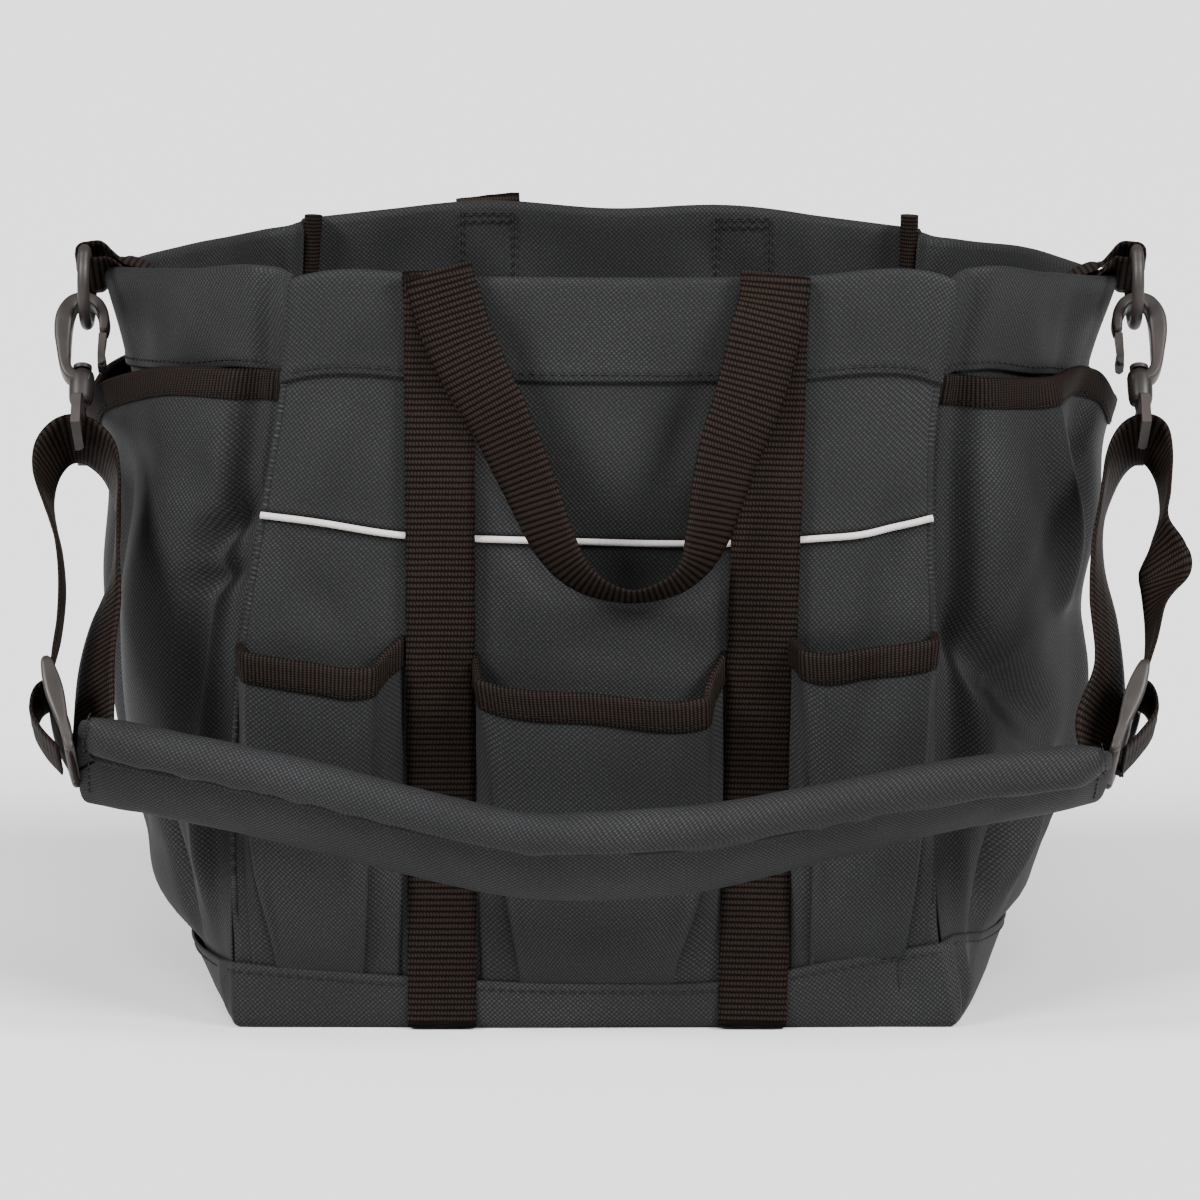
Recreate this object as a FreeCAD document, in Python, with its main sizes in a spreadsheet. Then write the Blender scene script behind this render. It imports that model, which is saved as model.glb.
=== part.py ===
import FreeCAD, Part

import math
import os

import Sketcher
from FreeCAD import Rotation, Vector

# An open-topped garden tool bag of woven fabric, with pockets outside, two webbing handles and
# a padded shoulder strap that clips to a D-ring at each end.
# X runs along the bag, the front faces -Y, Z is up. The origin is the middle of the base, on the
# surface that the bag stands on.

SIZES = {
    # main shell
    "rim_height": 275.0,          # front and back rim
    "rim_end_height": 268.0,      # the rim sinks a little towards its two ends
    "half_depth": 97.0,           # outside of the front and back panels
    "base_half": 132.0,           # half length of the front panel at the base
    "rim_half": 120.0,            # half length of the front panel at the rim
    "base_end": 153.0,            # how far the ends reach at the base
    "low_end": 174.0,             # ... at low_level
    "high_end": 180.0,            # ... at high_level
    "rim_end": 189.0,             # ... at the rim
    "low_level": 105.0,
    "high_level": 205.0,
    "fabric": 2.4,                # coated fabric with its lining
    "skin": 1.6,                  # one folded layer of fabric
    "gap": 0.3,                   # clearance between sewn layers
    "boot_height": 22.0,
    "board": 3.0,
    "board_inset": 8.0,           # the stiffening board stops short of the walls
    "rim_band_height": 37.0,
    # webbing
    "webbing_width": 25.0,
    "webbing": 1.8,
    "webbing_place": 58.0,        # middle of each sewn strap, from the middle of the bag
    "webbing_rise": 3.4,          # of the sewn strap over the rim, where it folds into the handle
    "tab_drop": 30.0,             # the ring tabs reach down inside the rim
    "tab_reach": 19.0,            # and in from the rim's nose
    # trim
    "piping_height": 183.0,
    "piping_radius": 1.4,
    "piping_sink": 0.9,           # the cord's middle lies this far inside the panels' outer face
    "binding_height": 10.5,
    "binding": 1.2,
    # pockets
    "side_pocket_height": 140.0,
    "side_pocket_in": 75.0,
    "side_pocket_out": 127.0,
    "side_pocket_foot_in": 84.0,
    "side_pocket_foot_out": 119.0,
    "mid_pocket_height": 128.0,
    "mid_pocket_half": 43.0,
    "mid_pocket_foot_half": 29.0,
    "pocket_depth": 12.0,
    "pocket_foot_depth": 3.2,
    "end_pocket_height": 236.0,
    "end_pocket_gap": 15.0,
    "end_pocket_foot_gap": 1.0,
    # hanging handles
    "handle_axis_height": 279.2,
    "handle_axis_depth": 102.4,
    "handle_drop": 117.0,
    "handle_foot_half": 15.0,
    "handle_tilt": 6.0,
    # shoulder strap, drawn hanging straight down from the axis through both D-rings
    "strap_axis_height": 268.0,
    "strap_tilt": 38.0,
    "ring_place": 196.0,
    "ring_wire": 2.25,
    "ring_loop_gap": 0.5,
    "ring_half": 15.25,
    "ring_corner": 4.0,
    "ring_side": 7.0,
    "hook_gap": 4.8,
    "hook_bar": 4.4,
    "hook_half_width": 4.4,
    "hook_top": 17.4,
    "hook_heel": 45.0,
    "hook_end": 59.0,
    "barrel_radius": 5.8,
    "gate_half_width": 2.4,
    "pin_radius": 1.2,
    "stem_radius": 2.3,
    "eye_top": 60.0,
    "eye_bar": 3.4,
    "eye_opening": 9.0,
    "eye_half": 13.3,
    "loop_radius": 12.6,
    "loop_centre": 82.6,
    "loop_foot": 5.0,
    "slider_top": 171.0,
    "slider_bottom": 208.0,
    "slider_half": 17.0,
    "slider_bar": 3.6,
    "pad_end": 205.0,
    "pad_sag": 37.0,
    "pad_half": 186.0,
    "pad_width": 42.0,
    "pad_thick": 15.0,
    "pad_cover": 1.8,
}

doc = FreeCAD.newDocument("GardenToolBag")
sheet = doc.addObject("Spreadsheet::Sheet", "Sizes")
for row, (alias, value) in enumerate(SIZES.items(), 1):
    sheet.set(f"A{row}", alias)
    sheet.set(f"B{row}", str(value))
    sheet.setAlias(f"B{row}", alias)
doc.recompute()


class Size:
    """A length with the sheet expression that gives it."""

    def __init__(self, value, text=None):
        self.value = float(value)
        self.text = text or repr(float(value))

    @staticmethod
    def of(other):
        return other if isinstance(other, Size) else Size(other)

    def _join(self, other, sign, value):
        return Size(value, f"({self.text} {sign} {other.text})")

    def __add__(self, other):
        other = Size.of(other)
        return self._join(other, "+", self.value + other.value)

    def __sub__(self, other):
        other = Size.of(other)
        return self._join(other, "-", self.value - other.value)

    def __mul__(self, other):
        other = Size.of(other)
        return self._join(other, "*", self.value * other.value)

    def __truediv__(self, other):
        other = Size.of(other)
        return self._join(other, "/", self.value / other.value)

    def __neg__(self):
        return self * -1

    __radd__ = __add__
    __rmul__ = __mul__

    def __rsub__(self, other):
        return Size.of(other) - self


class Sheet:
    """Reads a named cell as a Size."""

    def __getattr__(self, name):
        return Size(sheet.get(name), f"Sizes.{name}")


S = Sheet()
LEFT, RIGHT = -1, 1
FRONT, BACK = -1, 1
NAMES = {LEFT: "left", RIGHT: "right"}
FACES = {FRONT: "front", BACK: "back"}
parts = []


# ---------------------------------------------------------------- building blocks

def new_body(label):
    body = doc.addObject("PartDesign::Body", label)
    body.Label = label
    parts.append(body)
    return body


def new_sketch(body, plane, offset):
    """A sketch on one of the body's own origin planes, moved along the plane's normal."""
    sketch = body.newObject("Sketcher::SketchObject", body.Label + "_sketch")
    support = [item for item in body.Origin.OriginFeatures if item.Role == plane][0]
    sketch.AttachmentSupport = (support, [""])
    sketch.MapMode = "FlatFace"
    sketch.setExpression("AttachmentOffset.Base.z", Size.of(offset).text)
    return sketch


def bind(sketch, constraint, size):
    index = sketch.addConstraint(constraint)
    sketch.setExpression(f"Constraints[{index}]", size.text)


def draw_outline(sketch, points):
    """A closed polygon whose corners are bound to the sheet."""
    points = [(Size.of(across), Size.of(up)) for across, up in points]
    first = sketch.GeometryCount
    corners = [Vector(across.value, up.value, 0) for across, up in points]
    for start, end in zip(corners, corners[1:] + corners[:1]):
        sketch.addGeometry(Part.LineSegment(start, end))
    count = len(points)
    for index in range(count):
        following = first + (index + 1) % count
        sketch.addConstraint(Sketcher.Constraint("Coincident", first + index, 2, following, 1))
    for index, (across, up) in enumerate(points):
        line = first + index
        bind(sketch, Sketcher.Constraint("DistanceX", -1, 1, line, 1, across.value), across)
        bind(sketch, Sketcher.Constraint("DistanceY", -1, 1, line, 1, up.value), up)


def draw_circle(sketch, across, up, radius):
    across, up, radius = Size.of(across), Size.of(up), Size.of(radius)
    circle = Part.Circle(Vector(across.value, up.value, 0), Vector(0, 0, 1), radius.value)
    index = sketch.addGeometry(circle)
    bind(sketch, Sketcher.Constraint("DistanceX", -1, 1, index, 3, across.value), across)
    bind(sketch, Sketcher.Constraint("DistanceY", -1, 1, index, 3, up.value), up)
    bind(sketch, Sketcher.Constraint("Radius", index, radius.value), radius)


def pad(body, sketch, length):
    feature = body.newObject("PartDesign::Pad", body.Label + "_pad")
    feature.Profile = sketch
    feature.setExpression("Length", Size.of(length).text)
    doc.recompute()
    return feature


def pocket(body, sketch, length):
    """Cuts half of length to each side of the sketch, and proves that it removed material."""
    before = body.Shape.Volume
    feature = body.newObject("PartDesign::Pocket", body.Label + "_pocket")
    feature.Profile = sketch
    feature.setExpression("Length", Size.of(length).text)
    feature.Midplane = True
    doc.recompute()
    if body.Shape.Volume > before - 1.0:
        raise RuntimeError(f"{feature.Label} cuts nothing")
    return feature


def slab(label, plane, offset, points, thickness):
    """A flat piece: an outline on a plane, padded by its thickness."""
    body = new_body(label)
    sketch = new_sketch(body, plane, offset)
    draw_outline(sketch, points)
    pad(body, sketch, thickness)
    return body


def loft(body, levels, kind="PartDesign::AdditiveLoft"):
    """Joins outlines drawn at rising heights with ruled faces. levels: [(height, points), ...]"""
    sketches = []
    for height, points in levels:
        sketch = new_sketch(body, "XY_Plane", height)
        draw_outline(sketch, points)
        sketches.append(sketch)
    feature = body.newObject(kind, body.Label + "_loft")
    feature.Profile = sketches[0]
    feature.Sections = sketches[1:]
    feature.Ruled = True
    doc.recompute()
    return feature


def facing(face, near, thickness):
    """Sketch offset on the XZ plane for a layer that starts `near` mm out from the middle.

    The plane's normal is -Y, and a pad grows along it."""
    return near if face == FRONT else -(near + thickness)


def mirrored(points, side):
    return [(across * side, up) for across, up in points]


# ---------------------------------------------------------------- outline of the bag

def panel_half(height):
    """Half length of the front and back panels, which narrow evenly towards the rim."""
    return S.base_half - (S.base_half - S.rim_half) * height / S.rim_height


def end_reach(height):
    """How far the ends bulge out from the middle at a height."""
    stops = [(Size(0), S.base_end), (S.low_level, S.low_end),
             (S.high_level, S.high_end), (S.rim_height, S.rim_end)]
    for (low, start), (high, finish) in zip(stops, stops[1:]):
        if Size.of(height).value <= high.value:
            return start + (finish - start) * (height - low) / (high - low)
    return S.rim_end


def end_levels(low, high):
    """Heights where the end profile bends, between two limits."""
    inner = [level for level in (S.low_level, S.high_level) if low.value < level.value < high.value]
    return [low] + inner + [high]


def chevron(side, height, near, thickness, swell=0):
    """Plan of a layer round one end, `near` mm outside the panel, pushed out by swell at its nose."""
    half, nose, depth = panel_half(height), end_reach(height) + swell, S.half_depth
    inside = [(half + near, depth), (nose + near, Size(0)), (half + near, -depth)]
    outside = [(half + near + thickness, -depth), (nose + near + thickness, Size(0)),
               (half + near + thickness, depth)]
    return mirrored(outside + inside, side)


# ---------------------------------------------------------------- shell

def trapezoid(low, high, inset=0):
    return [(-(panel_half(low) - inset), low), (panel_half(low) - inset, low),
            (panel_half(high) - inset, high), (-(panel_half(high) - inset), high)]


def shell_panels():
    """Front and back: an upper and a lower panel, which meet at the piping."""
    for face in (FRONT, BACK):
        offset = facing(face, S.half_depth - S.fabric, S.fabric)
        seam_low = S.piping_height - S.piping_radius
        seam_high = S.piping_height + S.piping_radius
        slab(f"{FACES[face]}_lower_panel", "XZ_Plane", offset, trapezoid(base_top(), seam_low), S.fabric)
        slab(f"{FACES[face]}_upper_panel", "XZ_Plane", offset, trapezoid(seam_high, S.rim_height), S.fabric)


def base_top():
    return S.webbing + S.fabric


def droop(body, side):
    """Trims the top of an end piece, which sinks from the panel's corner to the nose."""
    sketch = new_sketch(body, "XZ_Plane", 0)
    corner, nose = S.rim_half - 1, S.rim_end + 20
    drop = (S.rim_height - S.rim_end_height) * (nose - corner) / (S.rim_end - corner)
    outline = [(corner, S.rim_height + 3), (corner, S.rim_height), (nose, S.rim_height - drop),
               (nose, S.rim_height + 3)]
    draw_outline(sketch, mirrored(outline, side))
    pocket(body, sketch, S.half_depth * 3)


def end_panels():
    for side in (LEFT, RIGHT):
        body = new_body(f"{NAMES[side]}_end_panel")
        levels = []
        for height in end_levels(base_top(), S.rim_height):
            half, nose, depth = panel_half(height), end_reach(height), S.half_depth
            inner_depth = depth - S.fabric
            plan = [(half, -depth), (nose, Size(0)), (half, depth), (half, inner_depth),
                    (nose - S.fabric * 1.25, Size(0)), (half, -inner_depth)]
            levels.append((height, mirrored(plan, side)))
        loft(body, levels)
        droop(body, side)


def base_plan(height, near):
    half, nose, depth = panel_half(height) + near, end_reach(height) + near, S.half_depth + near
    return [(half, -depth), (nose, Size(0)), (half, depth), (-half, depth), (-nose, Size(0)), (-half, -depth)]


def base_panel():
    """The bottom with its turned-up edge, a tray that the four walls stand in.

    Two shallow channels underneath take the webbing, so that everything rests level."""
    body = new_body("base_panel")
    low, high = Size(0), S.boot_height
    outside = S.gap + S.skin
    loft(body, [(low, base_plan(low, outside)), (high, base_plan(high, outside))])
    before = body.Shape.Volume
    inner = [(base_top(), base_plan(base_top(), S.gap)), (high + 1, base_plan(high + 1, S.gap))]
    loft(body, inner, "PartDesign::SubtractiveLoft")
    if body.Shape.Volume > before * 0.5:
        raise RuntimeError("the base tray is not hollow")
    half = S.webbing_width / 2 + 0.2
    for side in (LEFT, RIGHT):
        channel = new_sketch(body, "XY_Plane", 0)
        place, reach = S.webbing_place * side, S.half_depth + 5
        draw_outline(channel, [(place - half, -reach), (place + half, -reach),
                               (place + half, reach), (place - half, reach)])
        pocket(body, channel, S.webbing * 2)


def base_board():
    """A loose stiffening board that keeps the bottom flat."""
    return slab("base_board", "XY_Plane", base_top(), base_plan(base_top(), -S.board_inset), S.board)


def rim_bands():
    """The rim is folded out and sewn down as a band all round."""
    low = S.rim_height - S.rim_band_height
    for face in (FRONT, BACK):
        points = trapezoid(low, S.rim_height, -(S.gap + S.skin))
        slab(f"{FACES[face]}_rim_band", "XZ_Plane", facing(face, S.half_depth, S.skin), points, S.skin)
    for side in (LEFT, RIGHT):
        body = new_body(f"{NAMES[side]}_rim_band")
        levels = [(height, chevron(side, height, S.gap, S.skin)) for height in (low, S.rim_height)]
        loft(body, levels)
        droop(body, side)


def pipings():
    """A round cord sewn into the seam between the upper and lower panels."""
    for face in (FRONT, BACK):
        body = new_body(f"{FACES[face]}_piping")
        half = panel_half(S.piping_height)
        sketch = new_sketch(body, "YZ_Plane", -half)
        draw_circle(sketch, (S.half_depth - S.piping_sink) * face, S.piping_height, S.piping_radius)
        pad(body, sketch, half * 2)


def seam_bindings():
    """Tape over the raw edges inside: down the front corner, across the bottom, up the back."""
    for side in (LEFT, RIGHT):
        body = new_body(f"{NAMES[side]}_seam_binding")
        low, high = base_top() + S.board + 0.2, S.rim_height - 4
        depth = S.half_depth - S.fabric - 0.2
        outline = [(-depth, low), (depth, low), (depth, high), (depth - S.binding, high),
                   (depth - S.binding, low + S.binding), (-(depth - S.binding), low + S.binding),
                   (-(depth - S.binding), high), (-depth, high)]
        inner = S.rim_half - S.binding_height - 2
        offset = inner if side == RIGHT else -(inner + S.binding_height)
        sketch = new_sketch(body, "YZ_Plane", offset)
        draw_outline(sketch, outline)
        pad(body, sketch, S.binding_height)


# ---------------------------------------------------------------- pockets

def pouch(label, face, inner, outer, foot_inner, foot_outer, top):
    """An open-topped patch pocket with folded sides, shallow at its foot."""
    body = new_body(label)
    low = S.boot_height + 0.4
    near = S.half_depth + S.gap

    def plan(first, last, depth, wall):
        first, last = first + wall, last - wall
        start, end = near * face, (near + depth - wall) * face
        return [(first, start), (last, start), (last, end), (first, end)]

    loft(body, [(low, plan(foot_inner, foot_outer, S.pocket_foot_depth, 0)),
                (top, plan(inner, outer, S.pocket_depth, 0))])
    before = body.Shape.Volume
    wall = S.skin
    loft(body, [(low + wall, plan(foot_inner, foot_outer, S.pocket_foot_depth, wall)),
                (top + 0.5, plan(inner, outer, S.pocket_depth, wall))], "PartDesign::SubtractiveLoft")
    if body.Shape.Volume > before * 0.7:
        raise RuntimeError(f"{label} is not hollow")


def pocket_rows():
    """Three pockets on the front and three on the back, each with a bound top edge."""
    side_pocket = (S.side_pocket_in, S.side_pocket_out, S.side_pocket_foot_in, S.side_pocket_foot_out)
    mid_pocket = (-S.mid_pocket_half, S.mid_pocket_half, -S.mid_pocket_foot_half, S.mid_pocket_foot_half)
    for face in (FRONT, BACK):
        row = {"left": ([-size for size in (side_pocket[1], side_pocket[0], side_pocket[3], side_pocket[2])],
                        S.side_pocket_height),
               "middle": (mid_pocket, S.mid_pocket_height),
               "right": (side_pocket, S.side_pocket_height)}
        for place, (reach, top) in row.items():
            label = f"{FACES[face]}_{place}_pocket"
            pouch(label, face, *reach, top)
            near = S.half_depth + S.gap + S.pocket_depth
            low, high = top - S.binding_height, top
            points = [(reach[0], low), (reach[1], low), (reach[1], high), (reach[0], high)]
            slab(f"{label}_binding", "XZ_Plane", facing(face, near, S.binding), points, S.binding)


def end_pockets():
    """A pocket as wide as each end, which gapes at the nose and closes at the two corners."""
    for side in (LEFT, RIGHT):
        low, high = S.boot_height + 0.4, S.end_pocket_height

        def swell(height):
            grow = S.end_pocket_gap - S.end_pocket_foot_gap
            return S.end_pocket_foot_gap + grow * (height - low) / (high - low)

        body = new_body(f"{NAMES[side]}_end_pocket")
        levels = [(height, chevron(side, height, S.gap, S.skin, swell(height)))
                  for height in end_levels(low, high)]
        loft(body, levels)
        binding = new_body(f"{NAMES[side]}_end_pocket_binding")
        levels = [(height, chevron(side, height, S.gap * 2 + S.skin, S.binding, swell(height)))
                  for height in (high - S.binding_height, high)]
        loft(binding, levels)


# ---------------------------------------------------------------- sewn webbing and handles

def web_straps():
    """Webbing sewn up the front and back, and carried on under the base."""
    for side in (LEFT, RIGHT):
        edge = S.webbing_place * side - S.webbing_width / 2
        for face in (FRONT, BACK):
            near = S.half_depth + S.gap + S.skin
            far = near + S.webbing
            top = S.rim_height + S.webbing_rise
            outline = [(far, Size(0)), (far, top), (near, top), (near, Size(0))]
            slab(f"{FACES[face]}_{NAMES[side]}_webbing", "YZ_Plane", edge, mirrored(outline, face),
                 S.webbing_width)
        half = S.half_depth + S.gap + S.skin
        under = [(-half, Size(0)), (half, Size(0)), (half, S.webbing), (-half, S.webbing)]
        slab(f"base_{NAMES[side]}_webbing", "YZ_Plane", edge, under, S.webbing_width)


def handles():
    """Each carrying handle is a strip of webbing that hangs as a U from its two folds."""
    half = S.webbing_width / 2
    for face in (FRONT, BACK):
        place, drop, foot = S.webbing_place, S.handle_drop, S.handle_foot_half
        inner_drop = drop - S.webbing_width
        shoulder = drop * 0.45
        outside = [(place + half, Size(0)), (place + half - 7, -shoulder), (foot + half, -(drop - 14)),
                   (foot, -drop)]
        inside = [(place - half, Size(0)), (place - half - 9, -shoulder), (foot - 4, -(inner_drop - 7)),
                  (foot - 10, -inner_drop)]
        outline = outside + mirrored(outside[::-1], -1) + mirrored(inside, -1) + inside[::-1]
        body = slab(f"{FACES[face]}_handle", "XZ_Plane", -S.webbing / 2, outline, S.webbing)
        body.Placement = FreeCAD.Placement(Vector(), Rotation(Vector(1, 0, 0), 1))
        body.setExpression("Placement.Rotation.Angle", (S.handle_tilt * face).text)
        body.setExpression("Placement.Base.y", (S.handle_axis_depth * face).text)
        body.setExpression("Placement.Base.z", S.handle_axis_height.text)


def ring_tabs():
    """The sewn end of the webbing that holds each D-ring, over the nose of the rim."""
    for side in (LEFT, RIGHT):
        inner, outer = S.rim_end - S.tab_reach, S.ring_place - 5
        top, foot = S.rim_end_height + 3.4, S.rim_end_height + 3.4 - S.tab_drop
        outline = [(inner, foot), (inner + S.webbing, foot), (inner + S.webbing, top - S.webbing),
                   (outer, top - S.webbing), (outer, top), (inner, top)]
        slab(f"{NAMES[side]}_ring_tab", "XZ_Plane", -S.webbing_width / 2, mirrored(outline, side),
             S.webbing_width)


# ---------------------------------------------------------------- shoulder strap

def hang(body):
    """Tilts a piece, drawn hanging straight down from the origin, into the strap's resting line."""
    body.Placement = FreeCAD.Placement(Vector(), Rotation(Vector(1, 0, 0), -1))
    body.setExpression("Placement.Rotation.Angle", (-S.strap_tilt).text)
    body.setExpression("Placement.Base.z", S.strap_axis_height.text)
    return body


def outward(side, points):
    """Points given as (out from the ring's plane, down from the axis), turned into X and Z."""
    return [((S.ring_place + out) * side, -(Size.of(down))) for out, down in points]


def ring_loop(side):
    """The webbing wrapped round the ring's bar."""
    body = new_body(f"{NAMES[side]}_ring_loop")
    sketch = new_sketch(body, "XZ_Plane", -S.webbing_width / 2)
    inner = S.ring_wire + S.ring_loop_gap
    draw_circle(sketch, S.ring_place * side, 0, inner + S.webbing)
    draw_circle(sketch, S.ring_place * side, 0, inner)
    pad(body, sketch, S.webbing_width)
    return hang(body)


def d_ring(side):
    """Bent wire: a straight bar, two small corners, two short sides and a half round."""
    body = new_body(f"{NAMES[side]}_d_ring")
    path = new_sketch(body, "YZ_Plane", S.ring_place * side)
    half, corner, side_length = S.ring_half.value, S.ring_corner.value, S.ring_side.value
    bend = corner * math.sin(math.radians(45))
    start = [Vector(0, 0, 0), Vector(half - corner, 0, 0), Vector(half, -corner, 0),
             Vector(half, -side_length, 0)]
    middle = Vector(half - corner + bend, -corner + bend, 0)
    bottom = Vector(0, -side_length - half, 0)

    def flip(point):
        return Vector(-point.x, point.y, 0)

    path.addGeometry(Part.LineSegment(start[0], start[1]))
    path.addGeometry(Part.Arc(start[1], middle, start[2]))
    path.addGeometry(Part.LineSegment(start[2], start[3]))
    path.addGeometry(Part.Arc(start[3], bottom, flip(start[3])))
    path.addGeometry(Part.LineSegment(flip(start[3]), flip(start[2])))
    path.addGeometry(Part.Arc(flip(start[2]), flip(middle), flip(start[1])))
    path.addGeometry(Part.LineSegment(flip(start[1]), start[0]))
    profile = new_sketch(body, "XZ_Plane", 0)
    draw_circle(profile, S.ring_place * side, 0, S.ring_wire)
    pipe = body.newObject("PartDesign::AdditivePipe", body.Label + "_pipe")
    pipe.Profile = profile
    pipe.Spine = path
    doc.recompute()
    return hang(body)


def hook_body(side):
    """A moulded snap hook: back, round top, short nose, and a heel with a bore for the swivel."""
    gap, bar, width = S.hook_gap, S.hook_bar, S.hook_half_width * 2
    reach = gap + bar
    throat, heel, end = S.hook_top + gap, S.hook_heel, S.hook_end
    body = new_body(f"{NAMES[side]}_hook")
    diagonal = math.sin(math.radians(45))
    arch = S.hook_top - bar
    outline = [(reach, heel), (reach, throat), (reach * 0.92, throat - reach * 0.39),
               (reach * diagonal, throat - reach * diagonal), (reach * 0.39, arch + bar * 0.14), (0, arch),
               (-reach * 0.39, arch + bar * 0.14), (-reach * diagonal, throat - reach * diagonal),
               (-reach * 0.92, throat - reach * 0.39), (-reach, throat), (-(reach - 1.2), throat + 7),
               (-(gap + 0.4), throat + 7), (-gap, throat), (-gap * diagonal, throat - gap * diagonal),
               (0, S.hook_top), (gap * diagonal, throat - gap * diagonal), (gap, throat),
               (gap, heel - 1), (gap - 0.8, heel), (-gap, heel), (-(gap + 0.6), heel - 5),
               (-(reach - 1.4), heel - 5), (-(reach - 1.4), heel + 3), (-S.barrel_radius, heel + 7),
               (S.barrel_radius, heel + 7)]
    sketch = new_sketch(body, "XZ_Plane", -S.hook_half_width)
    draw_outline(sketch, outward(side, outline))
    pad(body, sketch, width)
    slot = new_sketch(body, "XZ_Plane", 0)
    draw_outline(slot, outward(side, [(-gap + 0.2, heel - 9), (-(reach + 1), heel - 9),
                                      (-(reach + 1), heel + 0.8), (-gap + 0.2, heel + 0.8)]))
    pocket(body, slot, (S.gate_half_width + 0.4) * 2)
    pin_hole = new_sketch(body, "XZ_Plane", 0)
    draw_circle(pin_hole, (S.ring_place - gate_pivot_out()) * side, -gate_pivot_down(), S.pin_radius + 0.15)
    pocket(body, pin_hole, width * 2)
    barrel = new_sketch(body, "XY_Plane", -end)
    draw_circle(barrel, S.ring_place * side, 0, S.barrel_radius)
    pad(body, barrel, end - heel)
    bore = new_sketch(body, "XY_Plane", -end)
    draw_circle(bore, S.ring_place * side, 0, S.stem_radius + 0.3)
    pocket(body, bore, (end - heel) * 2 + 4)
    return hang(body)


def gate_pivot_out():
    """The gate's pin lies on the inner side of the hook, towards the bag."""
    return S.hook_gap + 2.2


def gate_pivot_down():
    return S.hook_heel - 2.4


def hook_gate(side):
    """The sprung lever that closes the hook, with its moulded pin."""
    body = new_body(f"{NAMES[side]}_hook_gate")
    pivot, down = gate_pivot_out(), gate_pivot_down()
    top = S.hook_top + S.hook_gap + 7.5
    sketch = new_sketch(body, "XZ_Plane", -S.gate_half_width)
    outline = [(-(pivot - 1.3), down + 1.6), (-(pivot - 1.6), down - 4), (-(pivot - 1.5), top),
               (-(pivot + 1.4), top), (-(pivot + 0.9), down - 6), (-(pivot + 1.7), down - 2),
               (-(pivot + 1.7), down + 1.6)]
    draw_outline(sketch, outward(side, outline))
    pad(body, sketch, S.gate_half_width * 2)
    pin = new_sketch(body, "XZ_Plane", -S.hook_half_width)
    draw_circle(pin, (S.ring_place - pivot) * side, -down, S.pin_radius)
    pad(body, pin, S.hook_half_width * 2)
    return hang(body)


def swivel_eye(side):
    """A rectangular eye for the webbing on a headed stem that turns in the hook."""
    body = new_body(f"{NAMES[side]}_swivel_eye")
    top, bar, opening, half = S.eye_top, S.eye_bar, S.eye_opening, S.eye_half
    bottom = top + bar * 2 + opening
    frame = new_sketch(body, "YZ_Plane", S.ring_place * side - bar / 2)
    outer = [(-(half + bar), -bottom), (half + bar, -bottom), (half + bar, -(top + 4)), (half - 3, -top),
             (-(half - 3), -top), (-(half + bar), -(top + 4))]
    draw_outline(frame, outer)
    inner = [(-half, -(bottom - bar)), (half, -(bottom - bar)), (half, -(top + bar + 1)),
             (half - 2, -(top + bar)), (-(half - 2), -(top + bar)), (-half, -(top + bar + 1))]
    draw_outline(frame, inner)
    pad(body, frame, bar)
    stem = new_sketch(body, "XY_Plane", -(top + 1))
    draw_circle(stem, S.ring_place * side, 0, S.stem_radius)
    head_level = S.hook_heel - 0.4
    pad(body, stem, top + 1 - head_level)
    head = new_sketch(body, "XY_Plane", -head_level)
    draw_circle(head, S.ring_place * side, 0, S.stem_radius + 1.2)
    pad(body, head, 1.6)
    return hang(body)


def strap_loop(side):
    """Webbing that goes up through the eye and back down to the slider."""
    body = new_body(f"{NAMES[side]}_strap_loop")
    radius, centre, foot = S.loop_radius, S.loop_centre, S.loop_foot
    end = S.slider_bottom - 8
    turns = 8

    def side_line(arc_radius, foot_reach):
        line = [(foot_reach, end), (foot_reach, S.slider_top + 4)]
        for step in range(turns + 1):
            angle = math.pi * step / turns
            line.append((arc_radius * math.cos(angle), centre - arc_radius * math.sin(angle)))
        line += [(-foot_reach, S.slider_top + 4), (-foot_reach, end)]
        return line

    outline = side_line(radius, foot)
    outline += side_line(radius - S.webbing, foot - S.webbing)[::-1]
    sketch = new_sketch(body, "XZ_Plane", -S.webbing_width / 2)
    draw_outline(sketch, outward(side, outline))
    pad(body, sketch, S.webbing_width)
    return hang(body)


def slider(side):
    """A moulded tri-glide: a frame with a middle bar. The webbing's two layers pass each side of it."""
    body = new_body(f"{NAMES[side]}_slider")
    top, bottom, half, bar = S.slider_top, S.slider_bottom, S.slider_half, S.slider_bar
    slot_half = S.webbing_width / 2 + 1.0
    middle = (top + bottom) / 2
    thick = (S.loop_foot - S.webbing) * 2 - S.gap * 2
    sketch = new_sketch(body, "YZ_Plane", S.ring_place * side - thick / 2)
    draw_outline(sketch, [(-half, -(bottom - 3)), (-(half - 3), -bottom), (half - 3, -bottom),
                          (half, -(bottom - 3)), (half, -(top + 3)), (half - 3, -top),
                          (-(half - 3), -top), (-half, -(top + 3))])
    for low, high in ((bottom - bar, middle + bar / 2), (middle - bar / 2, top + bar)):
        draw_outline(sketch, [(-slot_half, -low), (slot_half, -low), (slot_half, -high), (-slot_half, -high)])
    pad(body, sketch, thick)
    return hang(body)


def pad_radius():
    """Radius of the shoulder pad's long curve, from its half length and its sag."""
    return (S.pad_half * S.pad_half + S.pad_sag * S.pad_sag) / (S.pad_sag * 2)


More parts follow.
